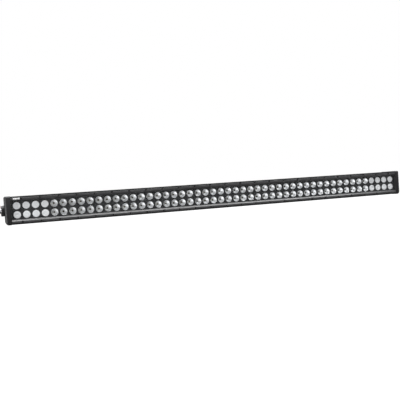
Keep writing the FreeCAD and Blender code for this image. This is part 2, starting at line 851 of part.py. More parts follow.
def build_cap_gasket(side, direction):
    """Flat gasket between the housing's end and the cap."""
    body = new_body(f"{side}_cap_gasket")
    sheet = side_sketch(body, housing_end * direction)
    add_box(sheet, lip_front, fin_tips, -half_height, half_height)
    for along, up in cap_screw_places():
        add_circle(sheet, along, up, FOUR_MM_CLEARANCE)
    pad(body, sheet, size["cap_gasket"], backward=direction < 0)


def build_cap_screws(side, direction):
    """Four cap screws with cylindrical heads sunk in the cap."""
    body = new_body(f"{side}_cap_screws")
    seat = cap_outer - CAP_SCREW_RECESS
    head_radius, head_height, length, socket_radius, socket_depth = 3.5, 4, 26, 1.7, 2
    for radius, start, reach in (
        (head_radius, seat + head_height, head_height),
        (FOUR_MM_THREAD, seat, length),
    ):
        sketch = side_sketch(body, start * direction)
        for along, up in cap_screw_places():
            add_circle(sketch, along, up, radius)
        pad(body, sketch, reach, backward=direction > 0)
    for along, up in cap_screw_places():
        sketch = add_hexagon(side_sketch(body, (seat + head_height) * direction, along, up), socket_radius)
        pocket(body, sketch, socket_depth, forward=direction < 0)


# ---------------------------------------------------------------- pivots and brackets

def ring_along_x(label, start, thickness, inner, outer, direction):
    """A washer or insert round the pivot axis."""
    body = new_body(label)
    sketch = side_sketch(body, start * direction)
    add_circle(sketch, 0, 0, outer)
    add_circle(sketch, 0, 0, inner)
    pad(body, sketch, thickness, backward=direction < 0)


def build_pivot(side, direction):
    """Insert, friction washer, lock washer and button-head bolt of one bracket's pivot."""
    hole = size["pivot_radius"] + size["running_gap"]
    washer_gap, insert_sunk, tip_gap = 0.2, 0.5, 0.5
    washer_hole = size["pivot_radius"] + washer_gap
    friction_radius, lock_radius = 13, 7.6
    insert_start = cap_outer - size["insert_length"]
    insert_length = size["insert_length"] - insert_sunk
    ring_along_x(f"{side}_pivot_insert", insert_start, insert_length, hole, size["insert_radius"], direction)
    ring_along_x(
        f"{side}_friction_washer", cap_outer, size["friction_washer"], washer_hole, friction_radius, direction
    )
    ring_along_x(
        f"{side}_lock_washer", lock_washer_inner, size["lock_washer"], washer_hole, lock_radius, direction
    )
    build_pivot_bolt(side, direction, insert_start + tip_gap)


def build_pivot_bolt(side, direction, tip):
    body = new_body(f"{side}_pivot_bolt")
    crown_radius = size["pivot_head_radius"] * 0.5
    head_top = pivot_head_inner + size["pivot_head_height"]
    crown_curve = 7.5
    profile = [
        (tip, 0),
        (tip, size["pivot_radius"]),
        (pivot_head_inner, size["pivot_radius"]),
        (pivot_head_inner, size["pivot_head_radius"], crown_curve, 1),
        (head_top, crown_radius),
        (head_top, 0),
    ]
    if direction < 0:
        profile = [(-as_size(corner[0]), corner[1]) + turned_over(corner[2:]) for corner in profile]
    turn(body, plan_sketch(body), profile)
    socket_radius, socket_depth = 2.9, 2.6
    socket = add_hexagon(side_sketch(body, head_top * direction), socket_radius)
    pocket(body, socket, socket_depth, forward=direction < 0)


def turned_over(arc):
    """An arc's radius and turn after its outline is mirrored."""
    return (arc[0], -arc[1]) if arc else ()


def build_bracket(side, direction):
    """Swivel bracket: an arm beside the cap and a slotted foot turned in behind the bar."""
    body = new_body(f"{side}_bracket")
    nose = -size["arm_width"] / 2
    foot_back = size["foot_reach"]
    foot_front = foot_back - size["arm_thickness"]
    foot_end = arm_outer - size["foot_length"]
    inner_bend = size["bend_radius"]
    outer_bend = inner_bend + size["arm_thickness"]
    corners = [
        (arm_inner, nose),
        (arm_outer, nose),
        (arm_outer, foot_back - outer_bend, outer_bend, 1),
        (arm_outer - outer_bend, foot_back),
        (foot_end, foot_back),
        (foot_end, foot_front),
        (arm_inner - inner_bend, foot_front, inner_bend, -1),
        (arm_inner, foot_front - inner_bend),
    ]
    if direction < 0:
        corners = [(-as_size(corner[0]), corner[1]) + turned_over(corner[2:]) for corner in corners]
    profile = add_outline(plan_sketch(body), corners)
    solid = pad(body, profile, size["arm_width"], middle=True)
    nose_radius, foot_radius, edge_radius = 12, 6, 1.5
    solid = soften(body, "Fillet", solid, nose_radius, lambda box: lies_at(box, y=nose) and is_level(box))
    foot_x = foot_end * direction
    solid = soften(body, "Fillet", solid, foot_radius, lambda box: lies_at(box, x=foot_x) and is_level(box))
    outer_x = arm_outer * direction
    soften(body, "Fillet", solid, edge_radius, lambda box: lies_at(box, x=outer_x))
    bore = side_sketch(body, arm_outer * direction)
    add_circle(bore, 0, 0, size["pivot_radius"] + size["running_gap"])
    pocket(body, bore, size["arm_thickness"], forward=direction < 0)
    slot = front_sketch(body, size["foot_spacing"] / 2 * direction, foot_front, 0)
    radius = size["foot_slot_radius"]
    straight = size["foot_slot_length"] / 2 - radius
    right_end = [(straight, -radius, radius, 1), (straight + radius, 0, radius, 1)]
    left_end = [(-as_size(across), -as_size(up), bend, way) for across, up, bend, way in right_end]
    add_outline(slot, right_end + [(straight, radius)] + left_end + [(-straight, -radius)])
    pocket(body, slot, size["arm_thickness"])


# ---------------------------------------------------------------- cable, plug and vent

def ring_along_y(label, x, start, thickness, inner, outer):
    """A ring about an axis along Y at height zero."""
    body = new_body(label)
    sketch = front_sketch(body, x, start, 0)
    add_circle(sketch, 0, 0, outer)
    add_circle(sketch, 0, 0, inner)
    pad(body, sketch, thickness, backward=True)


def build_gland():
    """Cable gland through the back of the bay: body, washer, lock nut, seal and cap."""
    x = -size["fitting_reach"]
    thread, hexagon, bore = 6, 9.5, size["cable_radius"] + 0.1
    washer, washer_radius, flange, tail, nut, nut_gap = 0.6, 8.8, 4, 7, 4, 0.05
    flange_start = bay_outer_back + washer
    cap_gap, seal_gap = 1, 0.4
    seal_length, cap_length, cap_start = 5, 14, flange_start + flange + cap_gap
    front_thread, front_length, seal_rest = 7, 7, 0.1

    body = new_body("cable_gland")
    pad(body, add_hexagon(front_sketch(body, x, flange_start, 0), hexagon), flange, backward=True)
    for start, length, radius in (
        (bay_inner_back - tail, flange_start - bay_inner_back + tail, thread),
        (flange_start + flange, front_length, front_thread),
    ):
        pad(body, add_circle(front_sketch(body, x, start, 0), 0, 0, radius), length, backward=True)
    through = add_circle(front_sketch(body, x, bay_inner_back - tail, 0), 0, 0, bore)
    pocket(body, through, tail + flange_start - bay_inner_back + flange + front_length)

    ring_along_y("gland_washer", x, bay_outer_back, washer, size["fitting_hole"], washer_radius)

    lock = new_body("gland_lock_nut")
    sketch = add_hexagon(front_sketch(lock, x, bay_inner_back - nut, 0), hexagon)
    add_circle(sketch, 0, 0, thread + nut_gap)
    pad(lock, sketch, nut, backward=True)

    seal_start = flange_start + flange + front_length + seal_rest
    ring_along_y("gland_seal", x, seal_start, seal_length, bore, front_thread - seal_gap)

    cap = new_body("gland_cap")
    pad(cap, add_hexagon(front_sketch(cap, x, cap_start, 0), hexagon), cap_length, backward=True)
    chamber = add_circle(front_sketch(cap, x, cap_start, 0), 0, 0, front_thread + nut_gap)
    pocket(cap, chamber, seal_start + seal_length - cap_start)
    pocket(cap, add_circle(front_sketch(cap, x, cap_start, 0), 0, 0, bore), cap_length)


def build_cable():
    """Power cable: out of the gland, round a bend and along behind the fins."""
    body = new_body("power_cable")
    x = -size["fitting_reach"]
    length_inside, bend = 9, 12
    start = bay_inner_back - length_inside
    straight_end = size["cable_run"] - bend
    spine = plan_sketch(body)
    points = [
        Vector(x.value, start.value, 0),
        Vector(x.value, straight_end.value, 0),
        Vector((x + bend).value, size["cable_run"].value, 0),
        Vector((x + size["cable_length"]).value, size["cable_run"].value, 0),
    ]
    spine.addGeometry(Part.LineSegment(points[0], points[1]), False)
    spine.addGeometry(arc_between(points[1], points[2], bend, -1), False)
    spine.addGeometry(Part.LineSegment(points[2], points[3]), False)
    for tie in ((0, 2, 1, 2), (1, 1, 2, 1)):
        spine.addConstraint(Sketcher.Constraint("Coincident", *tie))
    pin_point(spine, 0, 1, x, start)
    pin_point(spine, 0, 2, x, straight_end)
    pin_point(spine, 2, 1, x + bend, size["cable_run"])
    pin_point(spine, 2, 2, x + size["cable_length"], size["cable_run"])
    spine.addConstraint(Sketcher.Constraint("Radius", 1, bend))
    profile = add_circle(front_sketch(body, x, start, 0), 0, 0, size["cable_radius"])
    pipe = body.newObject("PartDesign::AdditivePipe", "cable_pipe")
    pipe.Profile = profile
    pipe.Spine = spine
    document.recompute()


def build_plug():
    """Two-pin plug on the cable's end: hollow shell, seal and pins."""
    start = size["cable_length"] - size["fitting_reach"]
    half_depth, half_rise, grip, shell, wall, corner = 7, 6, 16, 20, 1.6, 2
    seal_width, seal_length, seal_reach = 1.0, 3, 4
    body = new_body("plug_housing")
    run = size["cable_run"]
    block = add_box(side_sketch(body, start, run, 0), -half_depth, half_depth, -half_rise, half_rise)
    solid = pad(body, block, grip + shell)
    soften(body, "Fillet", solid, corner, lambda box: near(box.YMin, box.YMax) and near(box.ZMin, box.ZMax))
    cavity = side_sketch(body, start + grip + shell, run, 0)
    add_box(cavity, wall - half_depth, half_depth - wall, wall - half_rise, half_rise - wall)
    pocket(body, cavity, shell)

    seal_start = start + grip + shell - seal_reach
    seal = new_body("plug_seal")
    ring = side_sketch(seal, seal_start, run, 0)
    lip = wall + seal_width
    add_box(ring, wall - half_depth, half_depth - wall, wall - half_rise, half_rise - wall)
    add_box(ring, lip - half_depth, half_depth - lip, lip - half_rise, half_rise - lip)
    pad(seal, ring, seal_length)

    pins = new_body("plug_pins")
    pin_radius, pin_half_gap, pin_length = 1, 2.2, 15
    sketch = side_sketch(pins, start + grip, run, 0)
    for side in (-1, 1):
        add_circle(sketch, side * pin_half_gap, 0, pin_radius)
    pad(pins, sketch, pin_length)


def build_vent():
    """Breather vent through the back of the bay, with its seal."""
    x = size["fitting_reach"]
    seal, seal_inset, flange, flange_radius, edge, thread, tail = 1, 0.5, 5, 8, 1, 6, 6
    ring_along_y("vent_seal", x, bay_outer_back, seal, size["fitting_hole"], flange_radius - seal_inset)
    body = new_body("breather_vent")
    start = bay_outer_back + seal
    profile = [
        (bay_inner_back - tail, 0),
        (bay_inner_back - tail, thread),
        (start, thread),
        (start, flange_radius),
        (start + flange - edge, flange_radius),
        (start + flange, flange_radius - edge),
        (start + flange, 0),
    ]
    turn(body, side_sketch(body, x), profile)


def build_badge():
    """Blank badge on the upper bezel rail, over the first column of optics."""
    body = new_body("blank_badge")
    half_length, half_width, thickness, corner = 9, 2.1, 0.6, 1
    middle = first_column
    face_middle = (window_half + size["bezel_thickness"] - size["bezel_edge"] + lip_inner) / 2
    sketch = front_sketch(body, middle, bezel_front - thickness, face_middle)
    plate = add_box(sketch, -half_length, half_length, -half_width, half_width)
    solid = pad(body, plate, thickness, backward=True)
    soften(body, "Fillet", solid, corner, lambda box: near(box.XMin, box.XMax) and near(box.ZMin, box.ZMax))


# ---------------------------------------------------------------- the whole bar

build_housing()
for row, direction in ROWS.items():
    build_bezel_rail(row, direction)
    build_bezel_screws(row, direction)
build_lens()
build_lens_gasket()
build_mask()
build_spot_reflectors()
build_board_layer("thermal_pads", web_front, size["pad_thickness"])
build_board_layer("led_boards", board_back, size["board_thickness"])
build_emitters()
build_board_screws()
build_board_links()
build_driver()
for side, direction in SIDES.items():
    build_flood_optics(side, direction)
    build_end_cap(side, direction)
    build_cap_gasket(side, direction)
    build_cap_screws(side, direction)
    build_pivot(side, direction)
    build_bracket(side, direction)
build_gland()
build_cable()
build_plug()
build_vent()
build_badge()
document.recompute()


def check_and_export():
    """Stop on any failed feature or bad solid, then write one STEP file for each sub-part."""
    for item in document.Objects:
        if {"Invalid", "Error"} & set(item.State):
            raise RuntimeError(f"{item.Name} failed: {item.State}")
    os.makedirs("parts", exist_ok=True)
    for body in sub_parts:
        if body.Shape.isNull() or not body.Shape.isValid():
            raise RuntimeError(f"{body.Label} has no valid shape")
    for body in sub_parts:
        body.Shape.exportStep(f"parts/{body.Label}.step")


check_and_export()
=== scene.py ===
import json
from math import asin, cos, pi, radians, sin, sqrt, tan

import bmesh
import bpy
from mathutils import Matrix, Vector


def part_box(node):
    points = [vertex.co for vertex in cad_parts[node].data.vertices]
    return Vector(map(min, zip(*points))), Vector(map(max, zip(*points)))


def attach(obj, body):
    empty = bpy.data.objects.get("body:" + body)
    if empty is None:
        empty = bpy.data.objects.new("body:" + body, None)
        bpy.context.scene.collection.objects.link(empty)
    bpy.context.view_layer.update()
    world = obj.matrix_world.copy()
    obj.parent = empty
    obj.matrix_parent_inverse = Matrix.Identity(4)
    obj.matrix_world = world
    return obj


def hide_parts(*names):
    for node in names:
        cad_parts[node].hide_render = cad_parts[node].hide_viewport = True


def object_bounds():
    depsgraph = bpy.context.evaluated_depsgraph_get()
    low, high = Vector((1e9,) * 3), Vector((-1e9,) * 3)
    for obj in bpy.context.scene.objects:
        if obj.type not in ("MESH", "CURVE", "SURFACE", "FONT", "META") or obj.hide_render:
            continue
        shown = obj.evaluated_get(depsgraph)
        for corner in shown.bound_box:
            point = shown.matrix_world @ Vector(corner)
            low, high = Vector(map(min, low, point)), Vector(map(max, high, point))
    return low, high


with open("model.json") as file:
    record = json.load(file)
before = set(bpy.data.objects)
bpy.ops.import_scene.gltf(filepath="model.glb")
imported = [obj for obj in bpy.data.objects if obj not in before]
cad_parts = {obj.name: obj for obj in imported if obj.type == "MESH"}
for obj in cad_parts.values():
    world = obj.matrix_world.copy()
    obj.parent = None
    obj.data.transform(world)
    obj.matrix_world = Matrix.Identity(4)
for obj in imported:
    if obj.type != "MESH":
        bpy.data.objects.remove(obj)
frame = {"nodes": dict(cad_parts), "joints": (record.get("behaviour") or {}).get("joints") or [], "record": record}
cad_low, cad_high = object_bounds()

MM = 0.001
BAR = "light_bar"


# ---- places read from the frame

class Extent:
    """The box of one CAD node: low, high, centre and size."""

    def __init__(self, node):
        self.low, self.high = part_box(node)
        self.centre = (self.low + self.high) / 2
        self.size = self.high - self.low


housing = Extent("housing")
cups = Extent("spot_reflectors")
mask = Extent("reflector_mask")
floods = Extent("left_flood_optics")
emitters = Extent("led_emitters")
upper_rail = Extent("upper_bezel_rail")
cap = Extent("right_end_cap")
vent = Extent("breather_vent")
cable = Extent("power_cable")
plug = Extent("plug_housing")

COLUMNS = 50
FLOOD_COLUMNS = 4
# Rows and columns stand one pitch apart, so the cups' box gives both the pitch and their radius.
pitch = (cups.size.x - cups.size.z) / (COLUMNS - 2 * FLOOD_COLUMNS - 2)
optic_radius = (cups.size.z - pitch) / 2
column_places = [pitch * (number - (COLUMNS - 1) / 2) for number in range(COLUMNS)]
row_places = [pitch / 2, -pitch / 2]
all_places = [(x, 0, z) for x in column_places for z in row_places]
flood_count = FLOOD_COLUMNS * len(row_places)
spot_places = all_places[flood_count:-flood_count]
flood_places = {"left": all_places[:flood_count], "right": all_places[-flood_count:]}
between_columns = [(first + second) / 2 for first, second in zip(column_places, column_places[1:])]
bezel_screw_columns = between_columns[::2]
bezel_screw_height = Extent("upper_bezel_screws").centre.z
pivot_y = frame["joints"][0]["pos_m"][1]
SIDES = {"left": -1, "right": 1}
ROWS = {"upper": 1, "lower": -1}

BEZEL_RECESS = 3.1 * MM
METAL_UNDER_HEAD = 2 * MM
bezel_screw_seat = upper_rail.high.y - METAL_UNDER_HEAD


# ---- mesh helpers

def linked(name, data):
    """A new object in the scene."""
    item = bpy.data.objects.new(name, data)
    bpy.context.scene.collection.objects.link(item)
    return item


def add_piece(name, form, slot, node, body=BAR, sharp=35):
    """Make a piece from a mesh or a shape.  It stands for a CAD node and rides on its body."""
    mesh = mesh_from(name, form) if isinstance(form, tuple) else form
    piece = linked(name, mesh)
    mesh.materials.clear()
    mesh.materials.append(materials[slot])
    mesh.polygons.foreach_set("use_smooth", [True] * len(mesh.polygons))
    mesh.set_sharp_from_angle(angle=radians(sharp))
    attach(piece, body)
    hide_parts(node)


def mesh_from(name, shape):
    """A mesh of (vertices, faces) whose faces all point outwards."""
    mesh = bpy.data.meshes.new(name)
    mesh.from_pydata(shape[0], [], shape[1])
    work = bmesh.new()
    work.from_mesh(mesh)
    bmesh.ops.recalc_face_normals(work, faces=work.faces)
    work.to_mesh(mesh)
    work.free()
    return mesh


def turned(profile, segments=40):
    """A closed (along, radius) profile turned about the Y axis.

    A radius may be a function of the angle, for hexagons and ribs."""
    vertices, rings = [], []
    for along, radius in profile:
        if not callable(radius) and radius < 1e-7:
            rings.append([len(vertices)] * segments)
            vertices.append((0, along, 0))
            continue
        rings.append(range(len(vertices), len(vertices) + segments))
        for step in range(segments):
            angle = 2 * pi * step / segments
            reach = radius(angle) if callable(radius) else radius
            vertices.append((reach * cos(angle), along, reach * sin(angle)))
    faces = []
    for number, ring in enumerate(rings):
        following = rings[(number + 1) % len(rings)]
        for step in range(segments):
            after = (step + 1) % segments
            corners = list(dict.fromkeys([ring[step], ring[after], following[after], following[step]]))
            if len(corners) > 2:
                faces.append(corners)
    return vertices, faces


def hexagon(corner_radius, largest=None):
    """A radius function of a hexagon, cut to a circle where that is smaller."""
    def radius(angle):
        from_flat = (angle + radians(30)) % radians(60) - radians(30)
        reach = corner_radius * cos(radians(30)) / cos(radians(30) - abs(from_flat))
        return min(reach, largest) if largest else reach
    return radius


def ribbed(radius, depth, count):
    """A radius function with round ribs."""
    return lambda angle: radius - depth * (0.5 - 0.5 * cos(angle * count)) ** 2


def lofted(loops):
    """A closed solid through equal loops of points, with flat ends."""
    count = len(loops[0])
    vertices = [point for loop in loops for point in loop]
    last = count * (len(loops) - 1)
    faces = [list(range(count)), list(range(last, last + count))]
    for level in range(len(loops) - 1):
        base = level * count
        for number in range(count):
            after = (number + 1) % count
            faces.append([base + number, base + after, base + after + count, base + number + count])
    return vertices, faces


def repeated(shape, offsets):
    """The same shape at each offset."""
    return joined(*[shifted(shape, offset) for offset in offsets])


def joined(*shapes):
    """Several shapes as one."""
    vertices, faces = [], []
    for shape in shapes:
        start = len(vertices)
        vertices += shape[0]
        faces += [[corner + start for corner in face] for face in shape[1]]
    return vertices, faces


def moved(shape, matrix):
    return [tuple(matrix @ Vector(point)) for point in shape[0]], shape[1]


def shifted(shape, offset):
    return moved(shape, Matrix.Translation(offset))


def pointing(shape, direction):
    """A shape turned about Y laid along X: its +Y end goes to the +X or -X side."""
    return moved(shape, Matrix.Rotation(radians(-90) * direction, 4, "Z"))


def arc(centre, radius, start, finish, steps):
    """Points of an arc, with angles in degrees."""
    points = []
    for step in range(steps + 1):
        angle = radians(start + (finish - start) * step / steps)
        points.append((centre[0] + radius * cos(angle), centre[1] + radius * sin(angle)))
    return points


def rounded(corners, radius, steps=3):
    """A closed outline with each corner replaced by a short curve."""
    outline = []
    count = len(corners)
    for number, corner in enumerate(corners):
        here = Vector(corner)
        before = Vector(corners[number - 1]) - here
        after = Vector(corners[(number + 1) % count]) - here
        half_angle = before.angle(after) / 2
        cut = min(radius / tan(half_angle), before.length * 0.45, after.length * 0.45)
        start = here + before.normalized() * cut
        finish = here + after.normalized() * cut
        for step in range(steps + 1):
            share = step / steps
            curve = (1 - share) ** 2 * start + 2 * share * (1 - share) * here + share ** 2 * finish
            outline.append(tuple(curve))
    return outline


def rectangle(across, up):
    """The corners of a rectangle about the origin."""
    return [(-across, -up), (across, -up), (across, up), (-across, up)]


def extruded(outline, low, high):
    """A (y, z) outline drawn out along X between two places."""
    return lofted([[(place, y, z) for y, z in outline] for place in (low, high)])


def block(low, high):
    """A plain cutter between two corners."""
    outline = [(low[1], low[2]), (high[1], low[2]), (high[1], high[2]), (low[1], high[2])]
    return extruded(outline, low[0], high[0])


def drum(centre, radius, low, high, segments=40):
    """A cylinder along Y from low to high about (x, z)."""
    shape = turned([(low, 0), (low, radius), (high, radius), (high, 0)], segments)
    return shifted(shape, (centre[0], 0, centre[1]))


def drum_along_x(centre, radius, low, high, segments=40):
    """A cylinder along X from low to high about (y, z)."""
    shape = pointing(drum((0, 0), radius, low, high, segments), 1)
    return shifted(shape, (0, centre[0], centre[1]))


def side_drum(direction, centre, radius, near, far, segments=40):
    """A cylinder along X on one side of the bar, between two distances from its middle."""
    low, high = sorted((direction * near, direction * far))
    return drum_along_x(centre, radius, low, high, segments)


def carved(name, base, cut=(), join=(), keep=()):
    """The mesh of a base shape with some shapes joined to it, some cut from it and some intersected."""
    work = linked(name + "_work", mesh_from(name, base))
    tools = []
    steps = [("UNION", shape) for shape in join] + [("INTERSECT", shape) for shape in keep]
    if cut:
        steps.append(("DIFFERENCE", joined(*cut)))
    for operation, shape in steps:
        tool = linked(name + "_tool", mesh_from(name + "_tool", shape))
        tools.append(tool)
        modifier = work.modifiers.new(operation.lower(), "BOOLEAN")
        modifier.operation = operation
        modifier.solver = "EXACT"
        modifier.use_self = operation == "DIFFERENCE"
        modifier.object = tool
    bpy.context.view_layer.update()
    graph = bpy.context.evaluated_depsgraph_get()
    mesh = bpy.data.meshes.new_from_object(work.evaluated_get(graph))
    for item in [work] + tools:
        bpy.data.objects.remove(item)
    mesh.name = name
    return mesh


def softened(mesh, width, angle=40, segments=2):
    """Round a mesh's edges that are sharper than an angle."""
    work = bmesh.new()
    work.from_mesh(mesh)
    weld, flat = 0.002 * MM, radians(0.5)
    bmesh.ops.remove_doubles(work, verts=work.verts, dist=weld)
    bmesh.ops.dissolve_limit(work, angle_limit=flat, verts=work.verts, edges=work.edges)
    edges = [edge for edge in work.edges if edge.is_manifold and edge.calc_face_angle(0) > radians(angle)]
    bmesh.ops.bevel(
        work, geom=edges, offset=width, segments=segments, profile=0.5, affect="EDGES", clamp_overlap=True
    )
    work.to_mesh(mesh)
    work.free()
    return mesh


# ---- materials

class Nodes:
    """Short helpers for adding nodes to a tree."""

    def __init__(self, tree):
        self.tree = tree

    def feed(self, socket, value):
        """Give a socket either another node's output or a plain value."""
        if isinstance(value, bpy.types.NodeSocket):
            self.tree.links.new(value, socket)
        elif socket.type == "RGBA":
            socket.default_value = tuple(value[:3]) + (1,)
        else:
            socket.default_value = value

    def add(self, kind, inputs=None, **settings):
        """A new node with some settings, then some inputs by name or number."""
        node = self.tree.nodes.new(kind)
        for name, value in settings.items():
            setattr(node, name, value)
        for name, value in (inputs or {}).items():
            self.feed(node.inputs[name], value)
        return node

    def spread(self, value, low, high, start=0.0, finish=1.0):
        """Map a value between start and finish to the range low to high."""
        inputs = {"Value": value, "From Min": start, "From Max": finish, "To Min": low, "To Max": high}
        return self.add("ShaderNodeMapRange", inputs).outputs["Result"]


class Shader(Nodes):
    """One node material around a Principled shader."""

    def __init__(self, name="finish"):
        self.material = bpy.data.materials.new(name)
        self.material.use_nodes = True
        super().__init__(self.material.node_tree)
        self.surface = self.tree.nodes["Principled BSDF"]
        self.place = self.add("ShaderNodeTexCoord").outputs["Object"]

    def finish(self, **inputs):
        """Set inputs of the Principled shader by name, with _ for a space, and give the material."""
        for name, value in inputs.items():
            self.feed(self.surface.inputs[name.replace("_", " ")], value)
        return self.material

    def middle(self, value):
        """Stretch the middle of a noise over the whole range."""
        return self.spread(value, 0.0, 1.0, 0.3, 0.7)

    def noise(self, size, detail=3.0, stretch=(1, 1, 1), sharpness=0.5):
        """Noise with grains of about the given size, longer along a stretched axis."""
        scales = [1 / amount for amount in stretch]
        grid = self.add("ShaderNodeMapping", {"Vector": self.place, "Scale": scales}).outputs["Vector"]
        inputs = {"Vector": grid, "Scale": 1 / size, "Detail": detail, "Roughness": sharpness}
        return self.add("ShaderNodeTexNoise", inputs).outputs["Fac"]

    def cells(self, size):
        """Cell pattern with cells of about the given size."""
        inputs = {"Vector": self.place, "Scale": 1 / size}
        return self.add("ShaderNodeTexVoronoi", inputs).outputs["Distance"]

    def sum(self, operation, first, second):
        """Two values added or multiplied."""
        return self.add("ShaderNodeMath", {0: first, 1: second}, operation=operation).outputs["Value"]

    def mix(self, share, first, second):
        """A colour between two colours."""
        inputs = {"Factor": share, "A": first, "B": second}
        return self.add("ShaderNodeMix", inputs, data_type="RGBA").outputs["Result"]

    def bump(self, height, depth, normal=None):
        """Relief of the given depth in metres."""
        inputs = {"Distance": depth, "Height": height}
        if normal:
            inputs["Normal"] = normal
        return self.add("ShaderNodeBump", inputs).outputs["Normal"]

    def edges(self, width):
        """Near 1 on edges narrower than the width and 0 on flat faces, and the rounded normal."""
        soft = self.add("ShaderNodeBevel", {"Radius": width}, samples=4).outputs["Normal"]
        plain = self.add("ShaderNodeNewGeometry").outputs["Normal"]
        dot = self.add("ShaderNodeVectorMath", {0: soft, 1: plain}, operation="DOT_PRODUCT")
        return self.spread(dot.outputs["Value"], 1.0, 0.0, 0.80, 0.995), soft


def lighter(colour, factor, lift=0.0):
    return [min(1, part * factor + lift) for part in colour]


def coated(colour, worn, roughness, sheen, grain=0.9 * MM, relief=0.05 * MM):
    """Powder coat: fine grain, patchy sheen and edges rubbed a little lighter."""
    shader = Shader()
    rim, soft_normal = shader.edges(0.5 * MM)
    patches = shader.noise(60 * MM, detail=4, stretch=(3, 1, 1))
    rubbed = shader.noise(4 * MM, detail=6, sharpness=0.7)
    wear = shader.sum("MULTIPLY", rim, shader.spread(rubbed, 0.0, 0.9, 0.35, 0.7))
    drifting = shader.mix(shader.middle(patches), colour, lighter(colour, 1.5, 0.001))
    grains = shader.noise(grain, detail=2)
    base = shader.spread(patches, roughness - 0.06, roughness + 0.08)
    return shader.finish(
        Base_Color=shader.mix(wear, drifting, worn),
        Roughness=shader.sum("ADD", base, shader.spread(grains, -0.05, 0.05)),
        Normal=shader.bump(grains, relief, soft_normal),
        Specular_IOR_Level=sheen,
    )


def metal(colour, roughness, stretch=(1, 1, 1), grain=1.2 * MM, relief=0.02 * MM):
    """Bare or plated metal with a direction in its grain and small stains."""
    shader = Shader()
    lines = shader.noise(grain, detail=4, stretch=stretch)
    stains = shader.noise(9 * MM, detail=5)
    rim, soft_normal = shader.edges(0.25 * MM)
    base = shader.spread(lines, roughness * 0.8, roughness * 1.25)
    return shader.finish(
        Base_Color=shader.mix(shader.middle(stains), colour, lighter(colour, 0.78)),
        Metallic=1.0,
        Roughness=shader.sum("ADD", base, shader.sum("MULTIPLY", rim, -0.05)),
        Normal=shader.bump(lines, relief, soft_normal),
    )


def black_oxide():
    """Blackened steel, a little uneven, with a painted highlight that makes every edge lighter."""
    shader = Shader()
    rim, soft_normal = shader.edges(0.3 * MM)
    blotches = shader.noise(1.5 * MM, detail=5)
    share = shader.middle(blotches)
    oxide = shader.mix(share, (0.008, 0.008, 0.0085), (0.020, 0.019, 0.019))
    return shader.finish(
        # Painted highlight: every edge is mixed towards light grey (0.10), as if it were catching the light.
        Base_Color=shader.mix(shader.sum("MULTIPLY", rim, 0.3), oxide, (0.10, 0.10, 0.105)),
        Metallic=0.4,
        Specular_IOR_Level=0.3,
        Roughness=shader.spread(blotches, 0.38, 0.58),
        Normal=shader.bump(blotches, 0.02 * MM, soft_normal),
    )


def moulded(colour, roughness=0.5, texture=0.7 * MM, relief=0.04 * MM, sheen=0.35):
    """Moulded plastic with a spark-eroded texture, slight colour drift and a painted highlight on its edges."""
    shader = Shader()
    pits = shader.cells(texture)
    drift = shader.noise(25 * MM, detail=3)
    rim, soft_normal = shader.edges(0.3 * MM)
    drifting = shader.mix(shader.middle(drift), colour, lighter(colour, 1.35, 0.002))
    return shader.finish(
        # Painted highlight: every edge is mixed halfway towards twice the colour, as if it were catching the
        # light.
        Base_Color=shader.mix(shader.sum("MULTIPLY", rim, 0.5), drifting, lighter(colour, 2.0, 0.01)),
        Roughness=shader.spread(drift, roughness - 0.07, roughness + 0.07),
        Normal=shader.bump(pits, relief, soft_normal),
        Specular_IOR_Level=sheen,
    )


def rubber(colour, roughness=0.62):
    """Soft rubber or silicone: matt, finely pitted, a little dusty."""
    shader = Shader()
    dust = shader.noise(3 * MM, detail=6, sharpness=0.65)
    dusty = shader.spread(dust, 0.0, 0.8, 0.4, 0.75)
    pits = shader.noise(0.5 * MM, detail=3)
    return shader.finish(
        Base_Color=shader.mix(dusty, colour, lighter(colour, 0.8, 0.03)),
        Roughness=shader.spread(dust, roughness - 0.08, roughness + 0.12),
        Normal=shader.bump(pits, 0.05 * MM),
        Specular_IOR_Level=0.3,
    )


def chrome_cup():
    """Vacuum-metallised cup: bright, with a faint ripple and a slightly dulled skin."""
    shader = Shader()
    ripple = shader.noise(4 * MM, detail=2)
    haze = shader.noise(1.5 * MM, detail=4)
    return shader.finish(
        Base_Color=shader.mix(haze, (0.78, 0.785, 0.79), (0.92, 0.92, 0.92)),
        Metallic=1.0,
        Roughness=shader.spread(haze, 0.22, 0.36),
        Normal=shader.bump(ripple, 0.15 * MM),
    )


def frosted():
    """Frosted acrylic optic: pale grey, finely frosted, cloudy inside."""
    shader = Shader()
    frosting = shader.noise(0.35 * MM, detail=3)
    cloud = shader.noise(5 * MM, detail=3)
    return shader.finish(
        Base_Color=shader.mix(cloud, (0.68, 0.68, 0.68), (0.82, 0.82, 0.82)),
        Roughness=shader.spread(frosting, 0.22, 0.42),
        Subsurface_Weight=0.25,
        Subsurface_Radius=(0.003, 0.003, 0.003),
        Coat_Weight=0.25,
        Coat_Roughness=0.12,
        Normal=shader.bump(frosting, 0.03 * MM),
    )


def clear_sheet():
    """Thin clear lens: light goes straight through, slanting light is reflected, faintly smeared."""
    shader = Shader()
    smears = shader.noise(30 * MM, detail=5, stretch=(6, 1, 1))
    clear = shader.add("ShaderNodeBsdfTransparent", {"Color": (0.97, 0.975, 0.98)}).outputs["BSDF"]
    shine = {"Roughness": shader.spread(smears, 0.03, 0.12)}
    gloss = shader.add("ShaderNodeBsdfGlossy", shine).outputs["BSDF"]
    slant = shader.add("ShaderNodeFresnel", {"IOR": 1.45}).outputs["Fac"]
    share = shader.sum("MULTIPLY", slant, 0.3)
    mixed = shader.add("ShaderNodeMixShader", {0: share, 1: clear, 2: gloss}).outputs["Shader"]
    shader.feed(shader.tree.nodes["Material Output"].inputs["Surface"], mixed)
    shader.tree.nodes.remove(shader.surface)
    return shader.material


